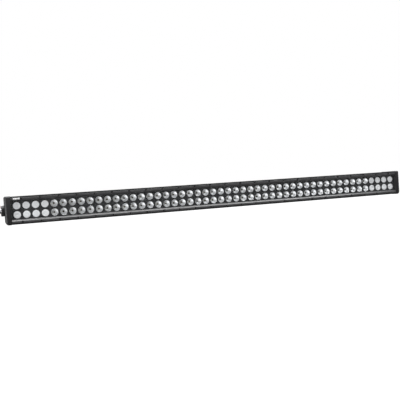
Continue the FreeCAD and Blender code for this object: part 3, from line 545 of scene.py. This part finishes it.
def board(mask_colour, track_colour):
    """Circuit board: solder mask over faint tracks."""
    shader = Shader()
    tracks = shader.noise(3 * MM, detail=1, stretch=(5, 1, 1))
    lines = shader.spread(tracks, 0.0, 1.0, 0.48, 0.52)
    speckle = shader.noise(0.8 * MM, detail=3)
    return shader.finish(
        Base_Color=shader.mix(shader.sum("MULTIPLY", lines, 0.35), mask_colour, track_colour),
        Roughness=shader.spread(speckle, 0.3, 0.5),
        Normal=shader.bump(lines, 0.03 * MM),
    )


def smoky_emitter():
    """Unlit die in a dark package under a clear dome."""
    shader = Shader()
    grains = shader.noise(0.2 * MM, detail=4)
    return shader.finish(
        Base_Color=shader.mix(grains, (0.045, 0.040, 0.025), (0.14, 0.12, 0.07)),
        Roughness=0.4,
        Coat_Weight=0.6,
        Coat_Roughness=0.05,
        Normal=shader.bump(grains, 0.02 * MM),
    )


def blank_plate():
    """Satin badge with a brushed face and no marking."""
    shader = Shader()
    brushed = shader.noise(0.25 * MM, detail=4, stretch=(14, 1, 1))
    soft_normal = shader.edges(0.2 * MM)[1]
    return shader.finish(
        Base_Color=shader.mix(brushed, (0.42, 0.42, 0.425), (0.56, 0.56, 0.565)),
        Metallic=0.2,
        Roughness=shader.spread(brushed, 0.34, 0.5),
        Normal=shader.bump(brushed, 0.01 * MM, soft_normal),
    )


COAT = (0.009, 0.009, 0.0095)
SATIN = (0.017, 0.017, 0.018)
WORN = (0.055, 0.055, 0.058)

materials = {
    "black_powder_coat": coated(COAT, WORN, roughness=0.50, sheen=0.10),
    "bezel_black": coated(SATIN, (0.09, 0.09, 0.094), roughness=0.32, sheen=0.50),
    "cap_black": coated(COAT, WORN, roughness=0.42, sheen=0.11, grain=1.1 * MM),
    "bracket_black": coated(COAT, (0.08, 0.08, 0.08), roughness=0.40, sheen=0.22),
    "black_steel": black_oxide(),
    "steel": metal((0.55, 0.55, 0.57), 0.30),
    "clear_lens": clear_sheet(),
    "black_rubber": rubber((0.012, 0.012, 0.012)),
    "grey_silicone": rubber((0.35, 0.36, 0.38)),
    "orange_silicone": rubber((0.62, 0.17, 0.02)),
    "mask_black": moulded((0.011, 0.011, 0.0115), roughness=0.42, sheen=0.3),
    "chrome_reflector": chrome_cup(),
    "frosted_optic": frosted(),
    "board_black": board((0.010, 0.010, 0.010), (0.03, 0.028, 0.024)),
    "board_green": board((0.01, 0.10, 0.035), (0.04, 0.20, 0.07)),
    "emitter_smoke": smoky_emitter(),
    "copper": metal((0.85, 0.45, 0.28), 0.32),
    "ferrite": moulded((0.045, 0.045, 0.05), roughness=0.6, texture=0.4 * MM),
    "capacitor_black": moulded((0.02, 0.02, 0.03), roughness=0.3, relief=0.01 * MM),
    "red_wire": moulded((0.42, 0.02, 0.015), roughness=0.4, relief=0.01 * MM),
    "cable_black": rubber((0.011, 0.011, 0.011), roughness=0.5),
    "nylon_black": moulded((0.014, 0.014, 0.014), roughness=0.45),
    "tinned_brass": metal((0.78, 0.72, 0.58), 0.22, stretch=(8, 1, 1)),
    "badge_grey": blank_plate(),
}

for slot, material in materials.items():
    material.name = slot

for entry in frame["record"]["subparts"]:
    node = frame["nodes"][entry["node"]]
    node.data.materials.clear()
    node.data.materials.append(materials[entry["material_slot"]])


# ---- optics

def spot_cup():
    """One cup as a closed shell: rounded rim, parabolic mirror, throat and outer wall."""
    front, back = cups.low.y, cups.high.y
    rim_width = 0.6 * MM
    mouth = optic_radius - rim_width
    throat = 3.0 * MM
    throat_front = back - 1.4 * MM
    shell = 0.7 * MM
    steps = 12
    inner = []
    for step in range(steps + 1):
        share = step / steps
        # A parabola's radius grows with the square root of the distance from its apex.
        spread = sqrt(1 - share * (1 - (throat / mouth) ** 2))
        inner.append((front + (throat_front - front) * share, mouth * spread))
    outer = [(along, radius + shell) for along, radius in reversed(inner[2:])]
    lip = 0.15 * MM
    rim = [(front + 1 * MM, optic_radius), (front + lip, optic_radius), (front, optic_radius - lip)]
    rim += [(front, mouth + lip), (front + lip, mouth)]
    base = [(back, throat), (back, throat + 3 * shell)]
    return turned(rim + inner[1:] + base + outer, 48)


def flood_lens():
    """One frosted optic: a domed face with a raised ring, a skirt and a hollow for the emitter."""
    front, back = floods.low.y, floods.high.y
    edge = cups.low.y
    dome = edge - front
    depth = back - edge
    groove_depth = 2.0 * MM
    face = []
    # Shares of the radius, and how deep the ring's groove is there.
    for share, groove in (
        (0.0, 0.4), (0.12, 0.4), (0.24, 0.2), (0.32, 0.0), (0.38, 0.0), (0.41, 0.8), (0.46, 1.0),
        (0.54, 1.0), (0.59, 0.8), (0.62, 0.0), (0.72, 0.0), (0.84, 0.0), (0.96, 0.0), (0.99, 0.15),
    ):
        face.append((edge - dome * (1 - share ** 2) + groove_depth * groove, optic_radius * share))
    neck = 5.0 * MM
    hollow = 3.0 * MM
    hollow_front = back - 5.0 * MM
    skirt = [(edge + 0.3 * MM, optic_radius), (edge + depth * 0.2, optic_radius)]
    skirt += [(edge + depth * 0.45, optic_radius * 0.86), (edge + depth * 0.75, optic_radius * 0.66)]
    skirt += [(back, neck), (back, hollow), (hollow_front, hollow), (hollow_front, 0)]
    return turned(face + skirt, 48)


def build_optics():
    cup_set = repeated(spot_cup(), spot_places)
    add_piece("spot_cups", cup_set, "chrome_reflector", "spot_reflectors", sharp=50)
    for side, places in flood_places.items():
        flood_set = repeated(flood_lens(), places)
        add_piece(f"{side}_flood_lenses", flood_set, "frosted_optic", f"{side}_flood_optics", sharp=50)


def build_emitters():
    """Square packages with a dome on each."""
    back = emitters.high.y
    half = 1.75 * MM
    base = 0.8 * MM
    dome = 1.4 * MM
    inset = 0.15 * MM
    steps = 6
    loops = []
    for along, reach in ((back, half), (back - base + inset, half), (back - base, half - inset)):
        loops.append([(x, along, z) for x, z in rectangle(reach, reach)])
    profile = [(back - base + inset, 0), (back - base + inset, dome)]
    profile += arc((back - base, 0), dome, 90, 180, steps)[1:]
    emitter = joined(lofted(loops), turned(profile, 20))
    add_piece("emitters", repeated(emitter, all_places), "emitter_smoke", "led_emitters")


def diamond_pocket(x):
    """A cutter between four openings: its sides run round them and its four points are blunt."""
    depth = 1.0 * MM
    rim = 2.0 * MM
    steps = 6
    radius = optic_radius + rim
    half = pitch / 2
    reach = pitch / 3
    opening_angle = asin((half - reach) / radius)
    outline = []
    for quarter in range(4):
        turn = radians(90) * quarter
        for step in range(steps + 1):
            angle = opening_angle + (radians(90) - 2 * opening_angle) * step / steps
            point = Vector((half - radius * sin(angle), half - radius * cos(angle)))
            outline.append((point.x * cos(turn) - point.y * sin(turn),
                            point.x * sin(turn) + point.y * cos(turn)))
    loops = [
        [(x + across * grown, mask.low.y + level, up * grown) for across, up in outline]
        for level, grown in ((-depth, 1.1), (depth, 0.9))
    ]
    return lofted(loops)


def build_mask():
    """Black plate with 100 lipped openings and a shallow diamond pocket between each four."""
    gap = 0.1 * MM
    margin = 1 * MM
    chamfer = 0.5 * MM
    radius = optic_radius + gap
    front, back = mask.low.y - margin, mask.high.y + margin
    profile = [(front, 0), (front, radius + chamfer + margin), (mask.low.y + chamfer, radius)]
    opening = turned(profile + [(back, radius), (back, 0)], 48)
    cuts = [shifted(opening, place) for place in all_places]
    cuts += [diamond_pocket(x) for x in between_columns]
    mesh = carved("optic_mask", block(mask.low, mask.high), cuts)
    add_piece("optic_mask", mesh, "mask_black", "reflector_mask")


# ---- housing

FIN_PITCH = 7.5 * MM
FIN_HALF = 1.0 * MM
OUTER_FIN = 3.0 * MM
LIP = 4.0 * MM
BOSS_RADIUS = 4.2 * MM
BOSS_HEIGHT = 30 * MM
boss_reaches = (pivot_y - 14 * MM, pivot_y + 32 * MM)
boss_places = [(reach, up) for reach in boss_reaches for up in (BOSS_HEIGHT, -BOSS_HEIGHT)]
STEM_BORE = 6.1 * MM
web_front = Extent("thermal_pads").high.y
web_back = web_front + 6 * MM
bay_inner = web_back + 22 * MM
bay_outer = bay_inner + 2 * MM
bay_half = FIN_PITCH * 2


def housing_outline():
    """The extrusion's (y, z) section: channel in front, comb of fins behind, bay still filled in."""
    gasket = Extent("lens_gasket")
    ledge_front, ledge_back = gasket.high.y, gasket.high.y + 3.5 * MM
    pocket_half = 30.0 * MM
    ledge_half = 27.0 * MM
    wall_inner = housing.high.z - 5 * MM
    lip_inner = housing.high.z - LIP
    rail_back = upper_rail.high.y
    channel = [
        (housing.low.y, lip_inner), (rail_back, lip_inner),
        (rail_back, pocket_half), (ledge_front, pocket_half),
        (ledge_front, ledge_half), (ledge_back, ledge_half),
        (ledge_back, wall_inner), (web_front, wall_inner),
    ]
    back = [(housing.high.y, housing.high.z), (housing.high.y, housing.high.z - OUTER_FIN)]
    back += [(web_back, housing.high.z - OUTER_FIN)]
    for step, root in ((4, web_back), (3, web_back), (2, bay_outer), (1, bay_outer)):
        middle = FIN_PITCH * step
        before = web_back if step > 1 else bay_outer
        back += [(before, middle + FIN_HALF), (housing.high.y, middle + FIN_HALF)]
        back += [(housing.high.y, middle - FIN_HALF), (root, middle - FIN_HALF)]
    back += [(bay_outer, FIN_HALF), (housing.high.y, FIN_HALF)]
    upper = channel[::-1] + [(housing.low.y, housing.high.z)] + back
    lower = [(y, -z) for y, z in reversed(upper)]
    return rounded(upper + lower, 0.5 * MM, 2)


def build_housing():
    """The extrusion with its screw bosses, driver bay, screw holes and room for the gland and vent."""
    margin = 1 * MM
    low, high = housing.low.x, housing.high.x
    bay_wall = bay_half - FIN_HALF
    end_gap = 0.001 * MM
    cap_thread, rail_thread, thread_depth = 1.65 * MM, 1.25 * MM, 7 * MM
    boss_ends = (low + end_gap, high - end_gap)
    bosses = [drum_along_x(place, BOSS_RADIUS, *boss_ends, 32) for place in boss_places]
    cuts = [block((low - margin, web_back, -bay_wall), (high + margin, bay_inner, bay_wall))]
    cuts += [drum_along_x(place, cap_thread, low - margin, high + margin, 24) for place in boss_places]
    thread_end = upper_rail.high.y + thread_depth
    for x in bezel_screw_columns:
        for height in (bezel_screw_height, -bezel_screw_height):
            cuts.append(drum((x, height), BEZEL_RECESS, housing.low.y - margin, bezel_screw_seat))
            cuts.append(drum((x, height), rail_thread, bezel_screw_seat + margin, thread_end, 16))
    room_half, room_back = 16 * MM, 2 * MM
    room_wall = bay_wall - 0.1 * MM
    for x in (Extent("cable_gland").centre.x, vent.centre.x):
        cuts.append(drum((x, 0), STEM_BORE, bay_inner - margin, bay_outer + margin))
        cuts.append(block((x - room_half, bay_outer, -room_wall), (x + room_half, room_back, room_wall)))
    mesh = carved("housing_shell", extruded(housing_outline(), low, high), cuts, bosses)
    add_piece("housing_shell", mesh, "black_powder_coat", "housing", sharp=30)


# ---- bezel rails, screws and badge

def build_rail(row, direction):
    """A rail with rounded edges, an inner bevel and a row of screw recesses open at its outer edge."""
    front, back = upper_rail.low.y, upper_rail.high.y
    outer, inner = upper_rail.high.z, upper_rail.low.z
    edge = 0.6 * MM
    outer_bevel = 0.3 * MM
    screw_hole = 1.6 * MM
    slope = back - edge - front
    corners = [(front, outer - outer_bevel), (front + outer_bevel, outer), (back, outer)]
    corners += [(back, inner), (back - edge, inner), (front, inner + slope)]
    outline = [(y, z * direction) for y, z in rounded(corners, 0.4 * MM, 2)]
    height = bezel_screw_height * direction
    margin = 1 * MM
    cuts = []
    for x in bezel_screw_columns:
        cuts.append(drum((x, height), BEZEL_RECESS, front - margin, bezel_screw_seat))
        cuts.append(drum((x, height), screw_hole, bezel_screw_seat - margin / 2, back + margin, 24))
    mesh = carved(f"{row}_rail", extruded(outline, upper_rail.low.x, upper_rail.high.x), cuts)
    add_piece(f"{row}_rail", mesh, "bezel_black", f"{row}_bezel_rail", sharp=30)


def dome_steps(seat, radius, height, top_radius, steps=6):
    """Profile of a button head from its edge at the seat up to its flat top, towards -Y."""
    quarter = arc((0, 0), 1, 0, 90, steps)
    return [(seat - height * up, top_radius + (radius - top_radius) * out) for out, up in quarter]


def socket_end(top, socket_radius, depth):
    """Profile of a hexagon socket sunk in a flat top, with a small lead-in and a drill point."""
    lead_in = 0.12 * MM
    wall = hexagon(socket_radius)
    mouth = [(top, hexagon(socket_radius + lead_in)), (top + lead_in, wall)]
    return mouth + [(top + depth, wall), (top + depth + socket_radius * 0.3, 0)]


def build_bezel_screws():
    head_radius, head_height, length, thread = 2.75 * MM, 1.8 * MM, 8.5 * MM, 1.2 * MM
    head = dome_steps(0, head_radius, head_height, head_radius * 0.55)
    point = [(length, 0), (length, thread * 0.6), (length - 0.5 * MM, thread), (0, thread)]
    screw = turned(point + head + socket_end(-head_height, 1.1 * MM, 1.1 * MM), 36)
    for row, direction in ROWS.items():
        offsets = [(x, bezel_screw_seat, bezel_screw_height * direction) for x in bezel_screw_columns]
        add_piece(f"{row}_button_screws", repeated(screw, offsets), "black_steel", f"{row}_bezel_screws")


def build_badge():
    """Blank badge with rounded corners and a sunk face inside a raised rim."""
    box = Extent("blank_badge")
    half_x, half_z = box.size.x / 2, box.size.z / 2
    loops = []
    soft, rim, sunk = 0.15 * MM, 0.45 * MM, 0.2 * MM
    levels = [(box.high.y, 0.0), (box.low.y + soft, 0.0), (box.low.y, soft)]
    levels += [(box.low.y, rim), (box.low.y + sunk, rim + soft)]
    for y, inset in levels:
        outline = rounded(rectangle(half_x - inset, half_z - inset), 1 * MM - inset, 5)
        loops.append([(box.centre.x + x, y, box.centre.z + z) for x, z in outline])
    add_piece("badge_plate", lofted(loops), "badge_grey", "blank_badge")


# ---- end caps

def cap_outline(inset):
    """The right cap's (x, z) outline, pulled in by an inset except beside the housing."""
    outer, half = cap.high.x, cap.high.z
    lower, upper = 8.5 * MM, 4.4 * MM
    points = [(cap.low.x, half - inset), (cap.low.x, -half + inset)]
    points += arc((outer - lower, lower - half), lower - inset, -90, 0, 12)
    points += arc((outer - upper, half - upper), upper - inset, 0, 90, 8)
    return points


SCREW_SINK = 4.2 * MM


def build_cap(side, direction):
    """Cast cap: broad bevels front and back, round outer corners, sunk screws and pivot hole."""
    bevel = 4 * MM
    soft = 0.45 * MM
    edge = [(0, bevel + soft), (soft * 0.25, bevel - soft * 0.05), (soft * 0.9, bevel - soft * 0.9)]
    edge += [(bevel - soft * 0.9, soft * 0.9), (bevel - soft * 0.05, soft * 0.25), (bevel + soft, 0)]
    sections = [(cap.low.y + along, inset) for along, inset in edge]
    sections += [(cap.high.y - along, inset) for along, inset in reversed(edge)]
    # The front of the upper corner is so tight that the inset stops just short of its centre.
    largest = 4.35 * MM
    loops = [
        [(x * direction, y, z) for x, z in cap_outline(min(inset, largest))]
        for y, inset in sections
    ]
    outer = cap.high.x
    margin = 1 * MM
    head_bore, screw_bore, overlap = 3.9 * MM, 2.2 * MM, 0.2 * MM
    pivot_bore, pivot_depth = 6.0 * MM, 12.5 * MM
    seat = outer - SCREW_SINK
    cuts = []
    for place in boss_places:
        cuts.append(side_drum(direction, place, head_bore, seat, outer + margin))
        cuts.append(side_drum(direction, place, screw_bore, cap.low.x - margin, seat + overlap, 24))
    cuts.append(side_drum(direction, (pivot_y, 0), pivot_bore, outer - pivot_depth, outer + margin))
    mesh = carved(f"{side}_cap", lofted(loops), cuts)
    add_piece(f"{side}_cap", mesh, "cap_black", f"{side}_end_cap", sharp=30)


def build_cap_screws(side, direction):
    """Socket cap screws with knurled heads, sunk in the cap."""
    seat = cap.high.x - SCREW_SINK
    head, height, length, thread = 3.5 * MM, 4 * MM, 26 * MM, 1.6 * MM
    soft = 0.35 * MM
    knurl = ribbed(head, 0.12 * MM, 18)
    profile = [(-length, 0), (-length, thread * 0.6), (-length + 0.6 * MM, thread), (0, thread)]
    profile += [(0, head - soft * 0.5), (soft * 0.5, knurl), (height - soft * 1.5, knurl)]
    profile += [(height - soft, head - soft * 0.3), (height, head - soft)]
    profile += [(height - along, radius) for along, radius in socket_end(0, 1.7 * MM, 2 * MM)]
    screw = pointing(turned(profile, 72), direction)
    offsets = [(seat * direction, reach, up) for reach, up in boss_places]
    add_piece(f"{side}_socket_screws", repeated(screw, offsets), "black_steel", f"{side}_cap_screws")


# ---- pivots and brackets

PIVOT_BORE = 4.05 * MM
WASHER_BORE = 4.2 * MM


def soft_ring(inner, outer, low, high, soft, segments=64):
    """A washer about Y with softened edges."""
    profile = [
        (low + soft, inner), (low, inner + soft), (low, outer - soft), (low + soft, outer),
        (high - soft, outer), (high, outer - soft), (high, inner + soft), (high - soft, inner),
    ]
    return turned(profile, segments)


def at_pivot(shape, direction):
    """A shape about Y, laid along X on the pivot axis."""
    return shifted(pointing(shape, direction), (0, pivot_y, 0))


def reaches(box):
    """The near and far distances of a side piece from the bar's middle."""
    return sorted((abs(box.low.x), abs(box.high.x)))


def build_pivot(side, direction):
    """Friction washer, split lock washer, button-head bolt and the cap's insert."""
    lock, bolt = Extent(f"{side}_lock_washer"), Extent(f"{side}_pivot_bolt")

    def ring(node, bore, soft):
        box = Extent(node)
        return at_pivot(soft_ring(bore, box.size.z / 2, *reaches(box), soft), direction)

    node = f"{side}_friction_washer"
    add_piece(f"{side}_slip_washer", ring(node, WASHER_BORE, 0.15 * MM), "nylon_black", node)

    low, high = reaches(lock)
    slit_half, slit_height, margin = 0.4 * MM, 12 * MM, 2 * MM
    slit = block((low - margin, -slit_half, 0), (high + margin, slit_half, slit_height))
    lean = Matrix.Translation((0, pivot_y, 0)) @ Matrix.Rotation(radians(25), 4, "Z")
    middle = Matrix.Translation((-(low + high) / 2, 0, 0))
    back = Matrix.Translation(((low + high) / 2 * direction, 0, 0))
    node = f"{side}_lock_washer"
    whole = ring(node, WASHER_BORE, 0.15 * MM)
    mesh = carved(f"{side}_split_washer", whole, [moved(slit, back @ lean @ middle)])
    add_piece(f"{side}_split_washer", mesh, "steel", node)

    low, high = reaches(bolt)
    seat = reaches(lock)[1]
    head_radius, head_flat, thread, socket = bolt.size.z / 2, 3.6 * MM, 4 * MM, 2.9 * MM
    dome = dome_steps(seat, head_radius, high - seat, head_flat)
    profile = [(low, 0), (low, thread - 0.8 * MM), (low + 0.8 * MM, thread), (seat, thread)]
    profile += [(2 * seat - along, radius) for along, radius in dome]
    profile += [(2 * high - along, radius) for along, radius in socket_end(high, socket, 2.6 * MM)]
    screw = at_pivot(turned(profile, 72), direction)
    add_piece(f"{side}_button_bolt", screw, "black_steel", f"{side}_pivot_bolt")

    node = f"{side}_pivot_insert"
    add_piece(f"{side}_threaded_insert", ring(node, PIVOT_BORE, 0.3 * MM), "steel", node)


def build_bracket(side, direction):
    """Bent flat bar: an arm with a round nose beside the cap and a slotted foot behind the bar."""
    box = Extent(f"{side}_bracket")
    end, outer = reaches(box)
    running_gap = 0.05 * MM
    inner = reaches(Extent(f"{side}_friction_washer"))[1] + running_gap
    thickness = outer - inner
    nose, back, half = box.low.y, box.high.y, box.high.z
    inner_bend = 3 * MM
    outer_bend = inner_bend + thickness
    plan = [(inner, nose), (outer, nose)]
    plan += arc((outer - outer_bend, back - outer_bend), outer_bend, 0, 90, 16)
    plan += [(end, back), (end, back - thickness)]
    bend_centre = (inner - inner_bend, back - thickness - inner_bend)
    plan += arc(bend_centre, inner_bend, 90, 0, 10)
    solid = lofted([[(x * direction, y, z) for x, y in plan] for z in (-half, half)])

    def nosed(start, finish, radius, steps):
        """An outline as tall as the bracket, round at its start and square at its finish."""
        outline = arc((start + radius, half - radius), radius, 90, 180, steps)
        outline += arc((start + radius, radius - half), radius, 180, 270, steps)
        return outline + [(finish, -half), (finish, half)]

    nose_radius, foot_radius, margin = 12 * MM, 6 * MM, 2 * MM
    side_view = nosed(nose, back + margin, nose_radius, 14)
    arm_keep = extruded(side_view, *sorted((direction * (end - margin), direction * (outer + margin))))
    front_view = nosed(end, outer + margin, foot_radius, 8)
    depths = (nose - margin, back + margin)
    foot_keep = lofted([[(x * direction, y, z) for x, z in front_view] for y in depths])

    slot_radius, slot_half = 4.5 * MM, 11 * MM
    slot_x = frame["record"]["mounts"][0]["dims"]["spacing_x_mm"] * MM / 2
    straight = slot_half - slot_radius
    slot_view = arc((slot_x + straight, 0), slot_radius, -90, 90, 14)
    slot_view += arc((slot_x - straight, 0), slot_radius, 90, 270, 14)
    slot_levels = (back - thickness - margin, back + margin)
    slot_cut = lofted([[(x * direction, y, z) for x, z in slot_view] for y in slot_levels])
    bore = side_drum(direction, (pivot_y, 0), PIVOT_BORE, inner - margin, outer + margin)
    name = f"{side}_swivel_bracket"
    mesh = carved(name, solid, [slot_cut, bore], keep=[arm_keep, foot_keep])
    softened(mesh, 0.8 * MM, angle=50, segments=3)
    add_piece(name, mesh, "bracket_black", f"{side}_bracket", f"{side}_swivel", sharp=30)


# ---- gland, cable, plug and vent

def build_gland():
    """Hexagon body, ribbed dome nut and washer of the cable gland."""
    body_box, cap_box, washer = Extent("cable_gland"), Extent("gland_cap"), Extent("gland_washer")
    bore = cable.size.z / 2 + 0.1 * MM
    corner = 9.5 * MM
    flange_start = washer.high.y
    flange_end = flange_start + 4 * MM
    soft = 0.4 * MM
    stem, neck, neck_gap = 6 * MM, 7 * MM, 0.05 * MM
    wide, narrow = hexagon(corner, corner * 0.97), hexagon(corner, corner * 0.90)
    profile = [
        (body_box.low.y, bore), (body_box.low.y, stem - soft), (body_box.low.y + soft, stem),
        (flange_start, stem), (flange_start, narrow), (flange_start + soft, wide),
        (flange_end - soft, wide), (flange_end, narrow), (flange_end, neck),
        (body_box.high.y, neck), (body_box.high.y, bore),
    ]
    place = (body_box.centre.x, 0, 0)
    add_piece("gland_body", shifted(turned(profile, 72), place), "nylon_black", "cable_gland", sharp=28)

    ring = soft_ring(STEM_BORE, washer.size.z / 2, washer.low.y, washer.high.y, 0.15 * MM)
    add_piece("gland_ring", shifted(ring, place), "black_rubber", "gland_washer")

    low, high = cap_box.low.y, cap_box.high.y
    ribs = ribbed(corner * 0.96, 0.7 * MM, 12)
    seal_end = Extent("gland_seal").high.y
    shoulder = high - 5.5 * MM
    cone_start, cone_radius, cone_inset = shoulder + 0.6 * MM, corner * 0.82, 3.4 * MM / 0.66
    inner = neck + neck_gap
    profile = [(low, inner), (low, corner * 0.84), (low + soft, ribs), (shoulder, ribs)]
    profile += [(cone_start, cone_radius)]
    steps, sweep = 6, radians(70)
    for step in range(1, steps + 1):
        angle = sweep * step / steps
        rise = (high - cone_start) * sin(angle) / sin(sweep)
        profile.append((cone_start + rise, cone_radius - cone_inset * (1 - cos(angle))))
    profile += [(high, bore + soft), (high - soft, bore), (seal_end, bore), (seal_end, inner)]
    add_piece("gland_dome", shifted(turned(profile, 96), place), "nylon_black", "gland_cap", sharp=28)


def tube(points, radius, segments=24):
    """A round tube along points in the plane of X and Y."""
    loops = []
    for number, point in enumerate(points):
        before = points[max(number - 1, 0)]
        after = points[min(number + 1, len(points) - 1)]
        along = (Vector(after) - Vector(before)).normalized()
        sideways = Vector((-along.y, along.x, 0))
        loop = []
        for step in range(segments):
            angle = 2 * pi * step / segments
            offset = sideways * cos(angle) + Vector((0, 0, 1)) * sin(angle)
            loop.append(tuple(Vector(point) + offset * radius))
        loops.append(loop)
    return lofted(loops)


def build_cable():
    """Round cable: straight out of the gland, round a bend and along behind the fins."""
    radius = cable.size.z / 2
    x, run, bend = cable.low.x + radius, cable.high.y - radius, 12 * MM
    points = [(x, cable.low.y, 0), (x, (cable.low.y + run - bend) / 2, 0)]
    points += [(across, along, 0) for across, along in arc((x + bend, run - bend), bend, 180, 90, 16)]
    spacing = 12 * MM
    straight = cable.high.x - x - bend
    count = int(straight / spacing)
    points += [(x + bend + straight * (step + 1) / count, run, 0) for step in range(count)]
    add_piece("supply_cable", tube(points, radius), "cable_black", "power_cable")


def build_plug():
    """Two-pin plug: ribbed grip and a hollow shell with a rounded rim."""
    wall, grip = 1.6 * MM, 16 * MM
    half_y, half_z = plug.size.y / 2, plug.size.z / 2
    centre_y = plug.centre.y
    rib_depth = 0.7 * MM

    def loop(x, inset):
        corners = rectangle(half_y - inset, half_z - inset)
        outline = rounded(corners, max(2 * MM - inset, 0.5 * MM), 5)
        return [(x, centre_y + y, z) for y, z in outline]

    start, end = plug.low.x, plug.high.x
    soft = 0.5 * MM
    sections = [(start, 3.0 * MM), (start + 0.8 * MM, 2.2 * MM), (start + 2.4 * MM, rib_depth)]
    ribs = 5
    rib_pitch = (grip - 4 * MM) / ribs
    for rib in range(ribs):
        place = start + 2.6 * MM + rib * rib_pitch
        sections += [(place + rib_pitch * 0.25, rib_depth), (place + rib_pitch * 0.4, 0.1 * MM)]
        sections += [(place + rib_pitch * 0.7, 0.1 * MM), (place + rib_pitch * 0.85, rib_depth)]
    sections += [(start + grip, rib_depth), (start + grip + soft, 0), (end - soft, 0), (end, soft)]
    sections += [(end, wall), (start + grip + 0.4 * MM, wall)]
    shell = lofted([loop(x, inset) for x, inset in sections])
    add_piece("plug_shell", shell, "nylon_black", "plug_housing", sharp=30)


def build_vent():
    """Breather vent: ribbed flange with slots round its crown, on a plain stem."""
    low, high = vent.low.y, vent.high.y
    seal = Extent("vent_seal")
    flange = seal.high.y
    radius, stem, soft = vent.size.z / 2, 6 * MM, 0.4 * MM
    ribs = ribbed(radius, 0.5 * MM, 16)
    profile = [(low, 0), (low, stem - soft), (low + soft, stem), (flange, stem), (flange, radius - soft)]
    profile += [(flange + soft, ribs), (high - 1.6 * MM, ribs), (high - 1.2 * MM, radius - 0.8 * MM)]
    profile += [(high - 0.3 * MM, radius - 1.4 * MM), (high, radius - 2.2 * MM)]
    profile += [(high, 2.6 * MM), (high - 0.5 * MM, 2.2 * MM), (high - 0.5 * MM, 0)]
    place = Matrix.Translation((vent.centre.x, 0, 0))
    half_width, depth, near, far, margin = 0.5 * MM, 0.8 * MM, 3.4 * MM, 5.4 * MM, 1 * MM
    slot = block((-half_width, high - depth, near), (half_width, high + margin, far))
    slots = []
    for step in range(4):
        slots.append(moved(slot, place @ Matrix.Rotation(radians(90 * step + 45), 4, "Y")))
    mesh = carved("vent_body", moved(turned(profile, 96), place), slots)
    add_piece("vent_body", mesh, "nylon_black", "breather_vent", sharp=28)
    ring = soft_ring(STEM_BORE, seal.size.z / 2, seal.low.y, seal.high.y, 0.2 * MM)
    add_piece("vent_ring", moved(ring, place), "black_rubber", "vent_seal")


build_optics()
build_emitters()
build_mask()
build_housing()
for row, direction in ROWS.items():
    build_rail(row, direction)
build_bezel_screws()
build_badge()
for side, direction in SIDES.items():
    build_cap(side, direction)
    build_cap_screws(side, direction)
    build_pivot(side, direction)
    build_bracket(side, direction)
build_gland()
build_cable()
build_plug()
build_vent()


# ---- studio

def build_floor():
    """Plain pale floor well below the bar.  Only the camera sees it pale; reflections and bounce light see it
    painted dark grey, a painted shade, so it throws only a little light back up.
    """
    half = 30.0
    level = cad_low.z - 0.45
    mesh = mesh_from("floor", ([(x, y, level) for x, y in rectangle(half, half)], [[0, 1, 2, 3]]))
    shader = Shader("floor_paint")
    mottle = shader.noise(0.4, detail=3)
    pale = shader.mix(mottle, (0.93, 0.93, 0.93), (0.96, 0.96, 0.96))
    seen = shader.add("ShaderNodeLightPath").outputs["Is Camera Ray"]
    # Painted shade: the floor is pale grey to the camera but dark grey (0.16) to every other ray.
    paint = shader.finish(Base_Color=shader.mix(seen, (0.16, 0.16, 0.16), pale), Roughness=0.8)
    mesh.materials.append(paint)
    linked("floor", mesh)


def build_lamp(name, place, aim, width, height, brightness):
    """A soft rectangular lamp at a place, aimed at a point.  Brightness is its face's radiance."""
    lamp = bpy.data.lights.new(name, "AREA")
    lamp.shape = "RECTANGLE"
    lamp.size, lamp.size_y = width, height
    lamp.energy = brightness * pi * width * height
    item = linked(name, lamp)
    item.location = place
    item.rotation_mode = "QUATERNION"
    item.rotation_quaternion = (Vector(aim) - Vector(place)).to_track_quat("-Z", "Y")


def build_world(below, above):
    """White to the camera; as light, it grows from dim below the horizon to bright overhead."""
    world = bpy.data.worlds.new("studio")
    world.use_nodes = True
    nodes = Nodes(world.node_tree)
    ray = nodes.add("ShaderNodeTexCoord").outputs["Generated"]
    rise = nodes.add("ShaderNodeSeparateXYZ", {"Vector": ray}).outputs["Z"]
    seen = nodes.add("ShaderNodeLightPath").outputs["Is Camera Ray"]
    inputs = {"Factor": seen, "A": nodes.spread(rise, below, above, -0.5, 0.7), "B": 1.0}
    background = nodes.tree.nodes["Background"].inputs
    nodes.feed(background["Strength"], nodes.add("ShaderNodeMix", inputs).outputs["Result"])
    nodes.feed(background["Color"], (1, 1, 1))
    bpy.context.scene.world = world


def build_camera():
    """Camera to the left of the bar's middle and level with it, turned towards its far end."""
    length = cad_high.x - cad_low.x
    left, distance, height = 0.526 * length, 1.2765 * length, 0.0235 * length
    place = Vector((-left, cad_low.y - distance, height))
    yaw, lift, roll = radians(19.86), radians(-1.29), radians(-3.86)
    forward = Vector((sin(yaw) * cos(lift), cos(yaw) * cos(lift), sin(lift)))
    level_right = forward.cross(Vector((0, 0, 1))).normalized()
    level_up = level_right.cross(forward)
    right = level_right * cos(roll) + level_up * sin(roll)
    up = level_up * cos(roll) - level_right * sin(roll)
    camera = bpy.data.cameras.new("camera")
    camera.sensor_width = 36
    camera.lens = 53.5
    camera.clip_start, camera.clip_end = 0.05, 100
    item = linked("camera", camera)
    item.matrix_world = Matrix.Translation(place) @ Matrix((right, up, -forward)).transposed().to_4x4()
    bpy.context.scene.camera = item


build_floor()
build_world(0.2, 1.35)
bar_middle, left_end = (0, pivot_y, 0), (-0.6, pivot_y, 0)
build_lamp("overhead_lamp", (0, -0.25, 1.9), bar_middle, 3.4, 1.2, 14.0)
build_lamp("left_lamp", (-2.4, -0.4, -0.2), left_end, 1.2, 0.5, 22.0)
build_lamp("front_lamp", (-0.2, -3.2, 1.7), bar_middle, 3.0, 1.4, 2.6)
build_lamp("back_lamp", (0.4, 2.2, 1.6), bar_middle, 2.8, 1.6, 6.0)
build_camera()
bpy.context.scene.view_settings.view_transform = "Standard"
